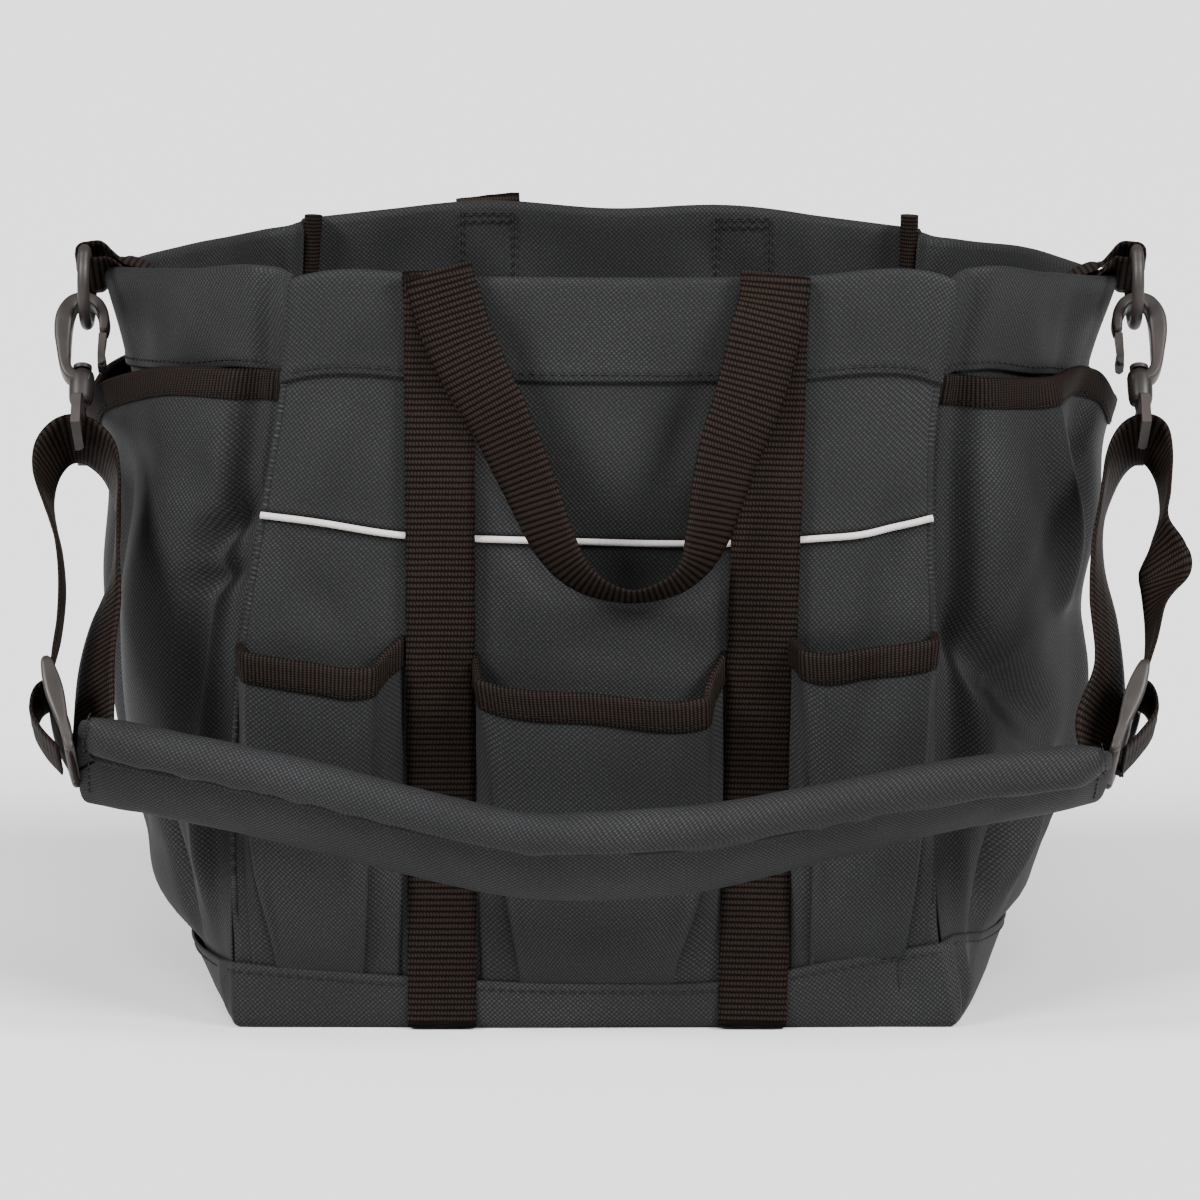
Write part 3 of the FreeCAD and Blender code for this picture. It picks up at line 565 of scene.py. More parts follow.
def plastic_material(name, colour, light):
    """Moulded plastic with a fine grain and rubbed, paler edges."""
    material, tree, shader = new_material(name, colour, 0.45, 0.32)
    calc = partial(join, tree)
    where = node(tree, "TexCoord").outputs["Object"]
    grain, cloud = noise(tree, where, 1400, 3), noise(tree, where, 90, 4)
    edge = calc("SUBTRACT", node(tree, "NewGeometry").outputs["Pointiness"], 0.45)
    worn = calc("ADD", calc("MULTIPLY", cloud, 0.5), calc("MULTIPLY", edge, 2.2), clamp=True)
    ramp(tree, worn, [(0.2, colour), (0.75, light)], shader.inputs["Base Color"])
    ramp(tree, cloud, [(0.3, (0.4,) * 3), (0.8, (0.58,) * 3)], shader.inputs["Roughness"])
    bump(tree, shader, grain, 0.25, 0.06)
    return material


CLOTH = cloth_material("charcoal_cloth", (0.0175, 0.0177, 0.0183), (0.0715, 0.072, 0.0742), 1.8, 0.6, 0.3,
                       contrast=0.44, specular=0.07)
WEB = cloth_material("brown_webbing", (0.0035, 0.0023, 0.0018), (0.021, 0.0142, 0.0113), 1.2, 0.62, 0.3,
                     RIB, 0.8, 0.04)
TAPE = cloth_material("brown_tape", (0.0038, 0.0026, 0.0021), (0.022, 0.0155, 0.013), 0.9, 0.66, 0.2,
                      TAPE_RIB, 0.75, 0.04)
THREAD = cloth_material("grey_thread", (0.012, 0.012, 0.013), (0.05, 0.05, 0.054), 0.5, 0.6, 0.08,
                        use_uv=False)
BROWN_THREAD = cloth_material("brown_thread", (0.0045, 0.0034, 0.003), (0.019, 0.014, 0.0125), 0.5, 0.65,
                              0.08, use_uv=False)
PIPING = cloth_material("pale_piping", (0.60, 0.56, 0.54), (0.80, 0.76, 0.74), 0.8, 0.5, 0.05)
PLASTIC = plastic_material("brown_plastic", (0.013, 0.0098, 0.0088), (0.036, 0.028, 0.0255))
BOARD = plastic_material("board_plastic", (0.015, 0.015, 0.016), (0.035, 0.035, 0.037))


# ---------------------------------------------------------------- shell

def panel(name, first, last, low, high):
    """Part of the wall between two places round the bag and two heights (functions of s)."""
    s = around(first + TINY, last - TINY, 0.012)
    low_z, high_z = low(s), high(s)
    rows = int(round(float((high_z - low_z).max()) / 3))
    t = np.linspace(0, 1, rows + 1)[:, None]
    z = low_z[None] * (1 - t) + high_z[None] * t
    return sheet(name, wall(np.broadcast_to(s, z.shape), z), FABRIC - 0.2)


PIPING_Z = [(0, 190), (0.05, 189), (0.22, 183), (0.3, 182), (0.5, 180.5), (0.75, 180.5), (0.9, 184), (1.0, 189)]
HALF_SEAM = 0.3


def piping_z(s, face):
    return curve(np.asarray(s) % 1.0 if face == FRONT else 1 - np.asarray(s) % 1.0, PIPING_Z)


def foot_z(s):
    return 0 * s + 1.5


def make_walls():
    for face, first in STARTS.items():
        def seam(s, way):
            return piping_z(np.clip(s - first, TINY, 1 - TINY), face) + way * HALF_SEAM

        name = FACES[face]
        lower = panel(f"{name}_lower_wall", first, first + 1, foot_z, lambda s: seam(s, -1))
        upper = panel(f"{name}_upper_wall", first, first + 1, lambda s: seam(s, 1), rim_z)
        wear("bag", lower, f"{name}_lower_panel")
        wear("bag", upper, f"{name}_upper_panel")
    for name, first in (("right", 1), ("left", 4)):
        wear("bag", panel(f"{name}_end_wall", first, first + 2, foot_z, rim_z), f"{name}_end_panel")


def make_rim():
    """The rim is folded out and down: it rolls over the top edge and ends in a sewn lap."""
    section = [(1.0, -RIM_BAND), (1.7, -RIM_BAND + 1.2), (1.2, -RIM_BAND + 6), (1.4, -22), (1.7, -12), (1.8, -5),
               (1.6, -1.6), (1.0, 0.2), (0.1, 0.8), (-1.2, 0.8), (-2.6, 0.0), (-3.3, -2.5), (-3.4, -8.0),
               (-3.4, -30.0), (-3.2, -46.0)]
    dense = []
    for start, end in zip(np.array(section), np.array(section[1:])):
        steps = max(int(abs(end[1] - start[1]) / 3), 1)
        dense += [start + (end - start) * k / steps for k in range(steps)]
    dense.append(section[-1])
    rows = []
    for name, first, last in (("front", 0, 1), ("right", 1, 3), ("back", 3, 4), ("left", 4, 6)):
        s = around(first + TINY, last - TINY, 0.012)
        band = np.stack([skin(s, rim_z(s) + up, out) for out, up in dense])
        wear("bag", sheet(f"{name}_rim_hem", band, 0.7), f"{name}_rim_band")
        s = around(first + 0.015, last - 0.015, 0.01)
        rows.append(skin_row(s, rim_z(s) - RIM_BAND + 3.2, 1.75))
    ride_all("bag", stitches("rim_stitches", rows, THREAD))


BOOT_PUCKERS = [(98, 30, 100, 8, 2.4, -1.0), (108, 30, 109, 5, 2.6, 2.0), (113, 26, 115, 4, 2.6, -1.2),
                (119, 24, 122, 6, 3.0, 2.4), (127, 22, 131, 8, 3.4, -1.0), (622, 24, 618, 6, 4.0, 1.4)]


def make_boot():
    """The bottom is turned up over the walls and sewn down over the feet of the pockets."""
    s = around(0, 6, 0.012)
    section = [(1.6, 1.0), (2.5, 0.97), (2.3, 0.85), (2.2, 0.7), (2.1, 0.55), (2.0, 0.4), (1.9, 0.22), (1.4, 0.1),
               (0.2, 0.02)]
    points = []
    for out, up in section:
        z = 0.6 + (boot_z(s) - 0.6) * up
        puckers = np.maximum(creases(s * END_MM, z, BOOT_PUCKERS), 0.9 - out)
        points.append(skin(s, z, out + puckers + 1.1 * end_share(s) * up))
    for inset in np.linspace(0.99, 0.0, 14):
        points.append(points[len(section) - 1] * (inset, inset, 0) + (0, 0, 0.25))
    wear("bag", sheet("boot", np.stack(points), 1.2, flip=True), "base_panel")
    s = around(0.001, 5.999, 0.01)
    row = skin_row(s, boot_z(s) - 3.4, 2.45 + end_share(s))
    ride_all("bag", stitches("boot_stitches", [row], THREAD))


def make_piping():
    for face, start in STARTS.items():
        s = np.linspace(0.002, 0.998, 240)
        path, normals = skin_row(s + start, piping_z(s, face), 0.9)
        along = ways(path)
        up = unit(np.cross(normals, along))
        cord = sweep(f"{FACES[face]}_piping_cord", path, up, unit(np.cross(along, up)), circle(1.25, 1.25, 12),
                     PIPING)
        wear("bag", cord, f"{FACES[face]}_piping")


# ---------------------------------------------------------------- sewn webbing

STRAP_END = 270.0     # the handles begin where the sewn webbing ends

WEB_X = {
    (FRONT, LEFT): [(0, -61.6), (277, -61.3)],
    (FRONT, RIGHT): [(0, 51.5), (140, 54.4), (277, 58.2)],
    (BACK, LEFT): [(0, -60), (277, -48)],
    (BACK, RIGHT): [(0, 56), (277, 52)],
}


def make_sewn_webbing():
    for (face, side), stops in WEB_X.items():
        name = f"{FACES[face]}_{SIDES[side]}"
        z = np.arange(1.2, STRAP_END, 0.4)
        path = skin(front_s(curve(z, stops), z, face), z, 2.8)
        run = lengths(path)
        path = resample(path, run, np.arange(0, run[-1], 0.4))
        fronts = unit(np.cross([[1.0, 0, 0]], ways(path))) * -face
        wear("bag", flat_webbing(f"{name}_strap", path, fronts), f"{name}_webbing")
    for side, name in SIDES.items():
        y = np.arange(-HALF_DEPTH - 4.6, HALF_DEPTH + 4.6, 0.4)
        x = curve(y, [(-HALF_DEPTH, WEB_X[(FRONT, side)][0][1]), (HALF_DEPTH, WEB_X[(BACK, side)][0][1])])
        lift = 1.1 + 1.2 * ease((np.abs(y) - HALF_DEPTH - 1) / 4)
        strap = flat_webbing(f"base_{name}_strap", np.stack([x, y, lift], axis=1), [[0, 0, -1.0]])
        wear("bag", strap, f"base_{name}_webbing")


def make_seam_tape():
    """Tape bound over the raw edges inside, down the front corner, over the floor and up the back."""
    for side, front_corner, back_corner in ((LEFT, 0.0, 4.0), (RIGHT, 1.0, 3.0)):
        up = np.arange(6.0, 276.0, 0.6)
        front = wall(front_corner, up) + (-side * 4.0, 5.2, 0)
        back = wall(back_corner, up + 2.5) + (-side * 4.6, -6.4, 0)
        y = np.arange(front[0, 1], back[0, 1], 0.6)[1:-1]
        t = ((y - y[0]) / (y[-1] - y[0]))[:, None]
        floor = front[0] * (1 - t) + back[0] * t
        path = smooth_path(np.vstack([front[::-1], floor, back])[::12], 0.5)
        along = ways(path)
        sides = unit(np.cross(along, [[0.9 * side, 0.35, 0.1]]))
        tape = sweep(f"{SIDES[side]}_seam_tape", path, sides, unit(np.cross(sides, along)), circle(4.6, 3.2, 14),
                     TAPE, (TAPE_RIB, 0.34))
        wear("bag", tape, f"{SIDES[side]}_seam_binding")


# ---------------------------------------------------------------- pockets
# Each has the x of its two edges on the wall and of the two folds of its face, by height, and the
# height of the mouth at its edges, either side of the folds and in the middle.

SIDE_POCKET_LEFT = dict(
    wall_left=[(8, -130), (70, -134), (142, -135.5)],
    face_left=[(8, -121), (25, -122), (60, -129), (142, -132.5)],
    face_right=[(8, -91), (25, -90), (142, -84.5)], wall_right=[(8, -77), (146, -74.5)],
    mouth=(142.5, 141.6, 141.2, 138.4, 136.2, 137.0, 146.0),
    out=[(8, 0.9), (20, 1.3), (25, 3.2), (50, 7.5), (90, 12), (142, 12.5)], crown=1.8, seed=1.0,
    folds=[(-126, 60, -121, 26, 2.6, -2.2), (-92, 110, -94, 40, 4, 1.2), (-112, 128, -104, 60, 7, 1.1)])
SIDE_POCKET_RIGHT = dict(
    wall_left=[(8, 66), (148, 62.5)], face_left=[(8, 72), (60, 73), (146, 68)],
    face_right=[(8, 104), (60, 111), (146, 116)], wall_right=[(8, 116), (60, 117.5), (147, 117.8)],
    mouth=(147.0, 142.6, 141.6, 143.0, 145.6, 146.0, 146.6),
    out=[(8, 0.9), (26, 1.3), (31, 3.2), (56, 7.5), (95, 11.5), (145, 12)], crown=2.0, seed=2.0,
    folds=[(78, 120, 80, 40, 4, -1.6), (104, 132, 96, 60, 6, 1.4), (92, 136, 88, 100, 5, -1.0)])
MIDDLE_POCKET = dict(
    wall_left=[(8, -47.5), (139, -49.5)],
    face_left=[(8, -32), (20, -33), (50, -38), (95, -43), (136, -48.5)],
    face_right=[(8, 22), (20, 23), (50, 32), (95, 35), (130, 34)], wall_right=[(8, 41), (139, 41)],
    mouth=(139.5, 133.0, 131.0, 127.6, 124.8, 126.0, 140.0),
    out=[(8, 0.9), (16, 1.3), (21, 3.4), (46, 7.8), (85, 12.5), (130, 13.5)], crown=2.6, seed=3.0,
    folds=[(-37, 60, -33, 18, 2.4, -2.4), (27, 60, 24, 20, 2.4, -2.2), (-12, 108, -4, 40, 10, 1.2),
           (22, 110, 18, 50, 5, 1.2)])


def mirrored_pocket(pocket):
    """The same pocket turned left for right."""
    swap = dict(pocket)
    for left, right in (("wall_left", "wall_right"), ("face_left", "face_right")):
        swap[left] = [(z, -x) for z, x in pocket[right]]
        swap[right] = [(z, -x) for z, x in pocket[left]]
    swap["mouth"] = pocket["mouth"][::-1]
    swap["folds"] = [(-x0, z0, -x1, z1, wide, high) for x0, z0, x1, z1, wide, high in pocket["folds"]]
    return swap


POCKETS = {
    (FRONT, "left"): SIDE_POCKET_LEFT, (FRONT, "middle"): MIDDLE_POCKET, (FRONT, "right"): SIDE_POCKET_RIGHT,
    (BACK, "left"): mirrored_pocket(SIDE_POCKET_RIGHT), (BACK, "middle"): mirrored_pocket(MIDDLE_POCKET),
    (BACK, "right"): mirrored_pocket(SIDE_POCKET_LEFT),
}
POCKET_FOOT = 8.0


def pocket_grid(pocket, face, columns=92, rows=46):
    """Points of the pocket's cloth, from its foot up to its mouth, and the way it faces."""
    knots = np.array([0, 0.06, 0.10, 0.14, 0.16, 0.5, 0.84, 0.86, 0.90, 0.94, 1.0])
    p = np.linspace(0, 1, columns)
    mouth = curve(p, list(zip((0, 0.13, 0.18, 0.5, 0.82, 0.87, 1.0), pocket["mouth"])))
    t = np.linspace(0, 1, rows)[:, None]
    z = POCKET_FOOT + (mouth[None] - POCKET_FOOT) * t
    a, b, c, d = (curve(z, pocket[key]) for key in ("wall_left", "face_left", "face_right", "wall_right"))
    out = curve(z, pocket["out"])
    tuck = 0.06 + 0.30 * ease(z / 120)
    pleat = (1 - ease((t - 0.5) / 0.35)) * ease(z / 30)
    under_b = b + 2.4 * pleat - (b - a) * 0.15 * (1 - pleat)
    under_c = c - 2.4 * pleat + (d - c) * 0.15 * (1 - pleat)
    under_out = 0.6 + out * (tuck * 0.7 * pleat + (tuck + 0.82) / 2 * (1 - pleat))
    xs = np.stack([a, a + (b - a) * 0.62, under_b, b - 0.5, b + 0.9, (b + c) / 2, c - 0.9, c + 0.5, under_c,
                   d - (d - c) * 0.62, d])
    i = np.clip(np.searchsorted(knots, p, side="right") - 1, 0, len(knots) - 2)
    w = ((p - knots[i]) / (knots[i + 1] - knots[i]))[:, None]
    column = np.arange(columns)

    def between(levels):
        return (levels[i, :, column] * (1 - w) + levels[i + 1, :, column] * w).T

    x = between(np.stack([a, a + (b - a) * 0.62, under_b, b - 0.5, b + 0.9, (b + c) / 2, c - 0.9, c + 0.5,
                          under_c, d - (d - c) * 0.62, d]))
    seam, fold = 0 * out + 0.6, out * tuck + 0.6
    outs = between(np.stack([seam, fold, under_out, out * 0.85, out, out, out, out * 0.85, under_out, fold, seam]))
    sag = np.sin(np.clip((p - 0.16) / 0.68, 0, 1) * math.pi)[None]
    outs = np.where((i == 4) | (i == 5), out + pocket["crown"] * sag * ease((z - 14) / 40), outs)
    level = (creases(x, z, pocket["folds"]) + ripple(x, z, pocket["seed"], 0.7)) * ease((z - 16) / 12)
    points = skin(front_s(x, z, face), z, np.maximum(outs + level * np.minimum(sag * 3, 1), 0.6))
    across = np.gradient(points, axis=1) * (1 if face == FRONT else -1)
    return points, unit(np.cross(across, np.gradient(points, axis=0)))


def edge_binding(name, edge, down, out):
    """Ribbed tape folded over the edge of a piece of cloth."""
    run = lengths(edge)
    at = np.arange(0, run[-1], 0.36)
    edge, down, out = (resample(values, run, at) for values in (edge, down, out))
    section = [(BINDING, 0.75), (BINDING - 0.5, 1.05), (BINDING * 0.6, 1.0), (BINDING * 0.25, 1.1), (0.4, 1.0),
               (-0.7, 0.3), (-0.75, -1.2), (0.4, -1.9), (BINDING * 0.3, -2.0), (BINDING * 0.7, -1.9),
               (BINDING, -1.6)]
    return sweep(name, edge, unit(down), unit(out), section, TAPE, (TAPE_RIB, 0.34))


def sew_pouch(name, points, out, flip=False):
    """A pocket's cloth and the tape on its mouth. Gives back where the tape's stitches go."""
    edge, down = points[-1], unit(points[-4] - points[-1])
    cloth = sheet(f"{name}_pouch", points, 1.0, flip=flip, even=True)
    tape = edge_binding(f"{name}_pouch_binding", edge, down, out)
    wear("bag", cloth, f"{name}_pocket")
    wear("bag", tape, f"{name}_pocket_binding")
    return edge + down * (BINDING - 1.6) + out * 1.1, out


def stitch_bindings(name, rows):
    ride_all("bag", stitches(name, rows, BROWN_THREAD, pitch=3.2, length=2.1, high=0.3))


def make_pockets():
    rows = []
    for (face, label), pocket in POCKETS.items():
        points, normals = pocket_grid(pocket, face)
        rows.append(sew_pouch(f"{FACES[face]}_{label}", points, normals[-1], flip=face == BACK))
    stitch_bindings("pocket_binding_stitches", rows)


END_MOUTH = {
    RIGHT: [(-1, 239.8), (-0.62, 234.5), (-0.25, 232.5), (-0.06, 221), (0.06, 219), (0.3, 229), (0.6, 232), (1, 236)],
    LEFT: [(-1, 240.8), (-0.62, 238.2), (-0.3, 229), (-0.06, 217), (0.06, 217), (0.3, 228), (0.6, 233), (1, 236)],
}


def make_end_pockets():
    """A pocket that wraps the whole pointed end, with its mouth standing away from the wall."""
    rows = []
    for side, middle in ((RIGHT, 2.0), (LEFT, 5.0)):
        s = around(middle - 0.985, middle + 0.985, 0.012)
        mouth = curve((s - middle) * side, END_MOUTH[side])
        z = POCKET_FOOT + (mouth[None] - POCKET_FOOT) * np.linspace(0, 1, 76)[:, None]
        off = np.broadcast_to(s, z.shape) - middle
        close = 1 - np.abs(off)
        ridges = 1.8 * np.maximum(creases(off * side * END_MM, z, END_POCKET_FOLDS[side]), 0)
        ridges = ridges * np.clip(close * 7, 0, 1) * ease((z - 24) / 40)
        out = 1.1 + 2.2 * ease(close * 3) * ease((z - 30) / 80) + ridges
        points = skin(np.broadcast_to(s, z.shape), z, np.maximum(out, 0.9), POCKET_NOSE_X)
        normals = unit(np.cross(np.gradient(points, axis=1), np.gradient(points, axis=0)))
        rows.append(sew_pouch(f"{SIDES[side]}_end", points, normals[-1]))
    stitch_bindings("end_binding_stitches", rows)


# ---------------------------------------------------------------- carrying handles

HANDLE_Y = -place("front_handle")[1][1] + WEB_THICK / 2     # of the folds, on the front
HANDLE_LINE = [  # x, out from the folds, height, lean of the strap and turn towards edge-on, in degrees
    (-61.6, -2.2, 270, 0, 0), (-61.9, -2.2, 274, 4, 0), (-62.0, -2.0, 277.0, 8, 0), (-61.8, -0.9, 278.7, 12, 0),
    (-61.4, 0.4, 277.7, 16, 0), (-60.6, 0.9, 274.5, 19, 0), (-58.2, 1.9, 267, 21, 1), (-53.8, 3.6, 254.5, 24, 6),
    (-47, 5.6, 240, 26, 16), (-39.6, 7.4, 226, 25, 26), (-30, 9.6, 205, 23, 36), (-20, 11.6, 182, 30, 48),
    (-9.5, 13.0, 169.5, 55, 60), (6, 14.0, 163.8, 90, 70), (20.5, 13.8, 166.8, 125, 66), (29.4, 12.8, 174, 148, 60),
    (34, 11.8, 184, 160, 50), (37.4, 10.6, 197, 167, 40), (42, 8.8, 215, 165, 26), (49, 6.6, 234.5, 162, 12),
    (54.6, 4.0, 256, 167, 4), (57.2, 1.9, 266, 168, 0), (58.2, 0.9, 272.5, 169, 0), (58.5, 0.4, 276.0, 171, 0),
    (58.5, -0.9, 277.2, 173, 0), (58.5, -2.0, 275.6, 176, 0), (58.4, -2.2, 273.5, 178, 0), (58.3, -2.2, 270, 180, 0)]


def make_handles():
    """One strip of webbing for each handle: up from the sewn strap, folded over, and down in a U."""
    for face in (FRONT, BACK):
        name = FACES[face]
        line = np.array(HANDLE_LINE, float)
        if face == BACK:
            line[:, 0] = -line[:, 0] + curve(-line[:, 0], [(-58, 10.4), (61, -9.4)])
            line[:, 2] += curve(line[:, 0], [(-45, 6.6), (45, -1.5)]) * ease((line[:, 2] - 240) / 30)
        path = smooth_path(np.column_stack([line[:, 0], face * (HANDLE_Y + line[:, 1]), line[:, 2:]]), 0.4)
        along = ways(path[:, :3])
        lean, turn = np.radians(path[:, 3:].T)
        flat = np.stack([face * np.cos(lean), 0 * lean, -np.sin(lean)], axis=1)
        side = flat * np.cos(turn)[:, None] + np.array([[0, -face, 0.0]]) * np.sin(turn)[:, None]
        side = unit(side - along * (side * along).sum(axis=1, keepdims=True))
        strap = webbing(f"{name}_handle_strap", path[:, :3], side, unit(np.cross(side, along)))
        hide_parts(f"{name}_handle")
        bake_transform(strap)


def make_box_stitches():
    """The handles are sewn through the rim: three sides of a box of thread show inside."""
    rows = []
    for (face, side), stops in WEB_X.items():
        x = stops[-1][1]
        top = float(rim_z(front_s(x, 275.0, face)))
        left, right, low, high = x - 10.4, x + 10.4, top - 42, top - 4
        for a, b in (((left, low), (left, high)), ((left, high), (right, high)), ((right, high), (right, low)),
                     ((left, high - 3), (right, high - 3))):
            across, up = np.linspace(a, b, 20).T
            points, normals = skin_row(front_s(across, up, face), up, -4.25)
            rows.append((points, -normals))
    ride_all("bag", stitches("box_stitches", rows, BROWN_THREAD, pitch=3.6, length=2.4, high=0.35))


# ---------------------------------------------------------------- shoulder strap
# The strap's pieces are worked out as if they hung straight down from the line through the rings:
# (x, y, down). hung() tilts them forward about that line.

AXIS_Z = 268.0
TILT = math.radians(38)
RING_X = 196.0
ACROSS = np.array([[0.0, 1.0, 0.0]])           # across the strap's plane


def hung(points):
    x, y, down = np.asarray(points, float).T
    return np.stack([x, y * math.cos(TILT) - down * math.sin(TILT),
                     AXIS_Z - y * math.sin(TILT) - down * math.cos(TILT)], axis=-1)


def hung_way(ways):
    x, y, down = np.asarray(ways, float).T
    return np.stack([x, y * math.cos(TILT) - down * math.sin(TILT),
                     -y * math.sin(TILT) - down * math.cos(TILT)], axis=-1)


def make_ring_tabs():
    """The webbing that holds each D-ring: sewn over the nose of the rim, round the ring and back."""
    for side, name in SIDES.items():
        ring = [(RING_X + 3.4 * math.sin(a), 3.4 * math.cos(a)) for a in np.radians(range(0, 181, 30))]
        drop = 0.0 if side == LEFT else 2.6
        over = [(169.6, -27), (170.2, -11 - drop), (172.2, -2 - drop), (177, 1.6 - drop), (184, 3.4 - 0.7 * drop),
                (190, 4.2 - 0.2 * drop)]
        under = [(191, -3.0), (188, -0.8), (184, 1.2 - drop), (178, -0.4 - drop)]
        x, level = smooth_path([(x * side, level, 0) for x, level in over + ring + under], 0.6)[:, :2].T
        turn = TILT * ease((x * side - 180) / 12)
        centres = np.stack([x, level * np.sin(turn), AXIS_Z + level * np.cos(turn)], axis=1)
        sides = np.stack([0 * turn, np.cos(turn), -np.sin(turn)], axis=1)
        fronts = unit(np.cross(ways(centres), sides)) * side
        tab = webbing(f"{name}_ring_tab_strap", centres, sides, fronts)
        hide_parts(f"{name}_ring_tab", f"{name}_ring_loop")
        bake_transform(tab)


STRAP_LOOPS = {  # (x, down, turn of the webbing in degrees) up the inner leg, over, and down the outer leg
    LEFT: dict(inner=[(-185.5, 207, 42), (-185.5, 190, 40), (-185.5, 166, 36), (-183, 146, 30), (-180.6, 128, 12),
                      (-180, 110, 4), (-180.8, 96, 8), (-184, 84, 14)],
               top=[(-189.5, 77, 16), (-196, 73.6, 16), (-202.5, 75.5, 16)],
               outer=[(-207.2, 83, 16), (-208, 94, 12), (-205, 106, 6), (-201.5, 118, 2), (-199.4, 134, 0),
                      (-199.6, 152, -4), (-201.5, 170, -8), (-199, 192, -4), (-191, 210, 0)]),
    RIGHT: dict(inner=[(175.5, 208, -40), (174.5, 194, -44), (179.5, 172, -30), (178.5, 145, -28), (177.6, 122, -14),
                       (179.6, 104, -6), (183.5, 88, -12)],
                top=[(188.6, 78, -16), (195, 73.8, -18), (200.6, 76, -16)],
                outer=[(203.4, 86, -8), (203, 100, -4), (200.2, 113, -10), (200.8, 124, -38), (201.5, 132, -42),
                       (197.5, 146, -14), (194.5, 162, -6), (187, 186, 0), (178, 206, 0)]),
}


STRAP_TAILS = {  # the folded end of the webbing behind each slider
    LEFT: [(-200, 178, 0), (-205.5, 182, 0), (-207, 190, 0), (-203, 198, 0), (-197, 205, 0)],
    RIGHT: [(189, 178, 0), (193.5, 182, 0), (194.6, 190, 0), (189.5, 198, 0), (182.5, 206, 0)],
}


def hung_strap(name, line):
    """Webbing whose width runs across the strap's plane, turned as each row of (x, down, turn) says."""
    path = smooth_path([(x, 0, down, turn) for x, down, turn in line], 0.4)
    centres, turn = path[:, :3], np.radians(path[:, 3])[:, None]
    front = unit(np.cross(ACROSS, ways(centres)))
    side, front = ACROSS * np.cos(turn) + front * np.sin(turn), front * np.cos(turn) - ACROSS * np.sin(turn)
    return webbing(name, hung(centres), hung_way(side), hung_way(front))


def hung_bar(name, centres, section, size):
    """A moulded bar along a path below the rings."""
    front = unit(np.cross(ACROSS, ways(centres)))
    return sweep(name, hung(centres), hung_way(ACROSS), hung_way(front), section, PLASTIC, size=size)


def make_strap_loops():
    for side, parts in STRAP_LOOPS.items():
        name = SIDES[side]
        loop = hung_strap(f"{name}_strap_webbing", parts["inner"] + parts["top"] + parts["outer"])
        wear("shoulder_strap", loop, f"{name}_strap_loop")
        ride_all("shoulder_strap", hung_strap(f"{name}_strap_tail", STRAP_TAILS[side]))


def soften(piece, width):
    """Rounds a moulded piece's edges."""
    bevel = piece.modifiers.new("edges", "BEVEL")
    bevel.width, bevel.segments, bevel.limit_method = width * MM, 3, "ANGLE"
    return bevel


def slider_mesh(name, middle, slope):
    """A moulded slider: a rounded frame with one bar across its middle."""
    windows = [rounded(5.9, 13.2, 1.6, 4, place_x) for place_x in (-8.3, 8.3)]
    mesh = bmesh.new()
    edges = []
    for points in [rounded(19.0, 17.0, 6, 6)] + windows:
        loop = [mesh.verts.new((x, y, 0)) for x, y in points]
        edges += [mesh.edges.new((loop[i], loop[(i + 1) % len(loop)])) for i in range(len(loop))]
    bmesh.ops.triangle_fill(mesh, use_beauty=True, edges=edges)
    holes = []
    for face in mesh.faces:
        centre = face.calc_center_median()
        if any(abs(centre.x - place_x) < 5.9 and abs(centre.y) < 13.2 for place_x in (-8.3, 8.3)):
            holes.append(face)
    bmesh.ops.delete(mesh, geom=holes, context="FACES")
    data = bpy.data.meshes.new(name)
    bmesh.ops.recalc_face_normals(mesh, faces=mesh.faces[:])
    mesh.to_mesh(data)
    mesh.free()
    points = np.array([v.co for v in data.vertices])
    along = np.array([math.sin(slope), 0, math.cos(slope)])
    placed = hung(np.array([middle[0], 0, middle[1]]) + points[:, :1] * along + points[:, 1:2] * (0, 1, 0))
    for vertex, point in zip(data.vertices, placed):
        vertex.co = Vector(point * MM)
    data.materials.append(PLASTIC)
    piece = bpy.data.objects.new(name, data)
    bpy.context.scene.collection.objects.link(piece)
    solid = piece.modifiers.new("thickness", "SOLIDIFY")
    solid.thickness, solid.offset = 3.4 * MM, 0
    soften(piece, 0.9)
    data.polygons.foreach_set("use_smooth", [True] * len(data.polygons))
    return piece


SLIDERS = ((LEFT, (-197.0, 190), math.radians(16)), (RIGHT, (184.5, 191), math.radians(-20)))
RAIL_LINE = [  # along the slider, and the rail's thickness
    (-19.2, 0.5), (-17.5, 1.0), (-12, 1.5), (-5, 1.7), (2, 1.4), (9, 0.95), (17.5, 0.8), (19.2, 0.4)]


def make_sliders():
    along, thick = np.array(RAIL_LINE).T
    for side, middle, slope in SLIDERS:
        name = SIDES[side]
        wear("shoulder_strap", slider_mesh(f"{name}_strap_slider", middle, slope), f"{name}_slider")
        for label, edge in (("front", -15.2), ("back", 15.2)):
            path = smooth_path(np.stack([middle[0] + along * math.sin(slope), 0 * along + edge,
                                         middle[1] + along * math.cos(slope), thick], axis=1), 1.0)
            size = np.stack([np.minimum(path[:, 3], 1.0), path[:, 3]], axis=1)
            rail = hung_bar(f"{name}_slider_rail_{label}", path[:, :3], rounded(1.9, 2.0, 1.2), size)
            ride_all("shoulder_strap", rail)


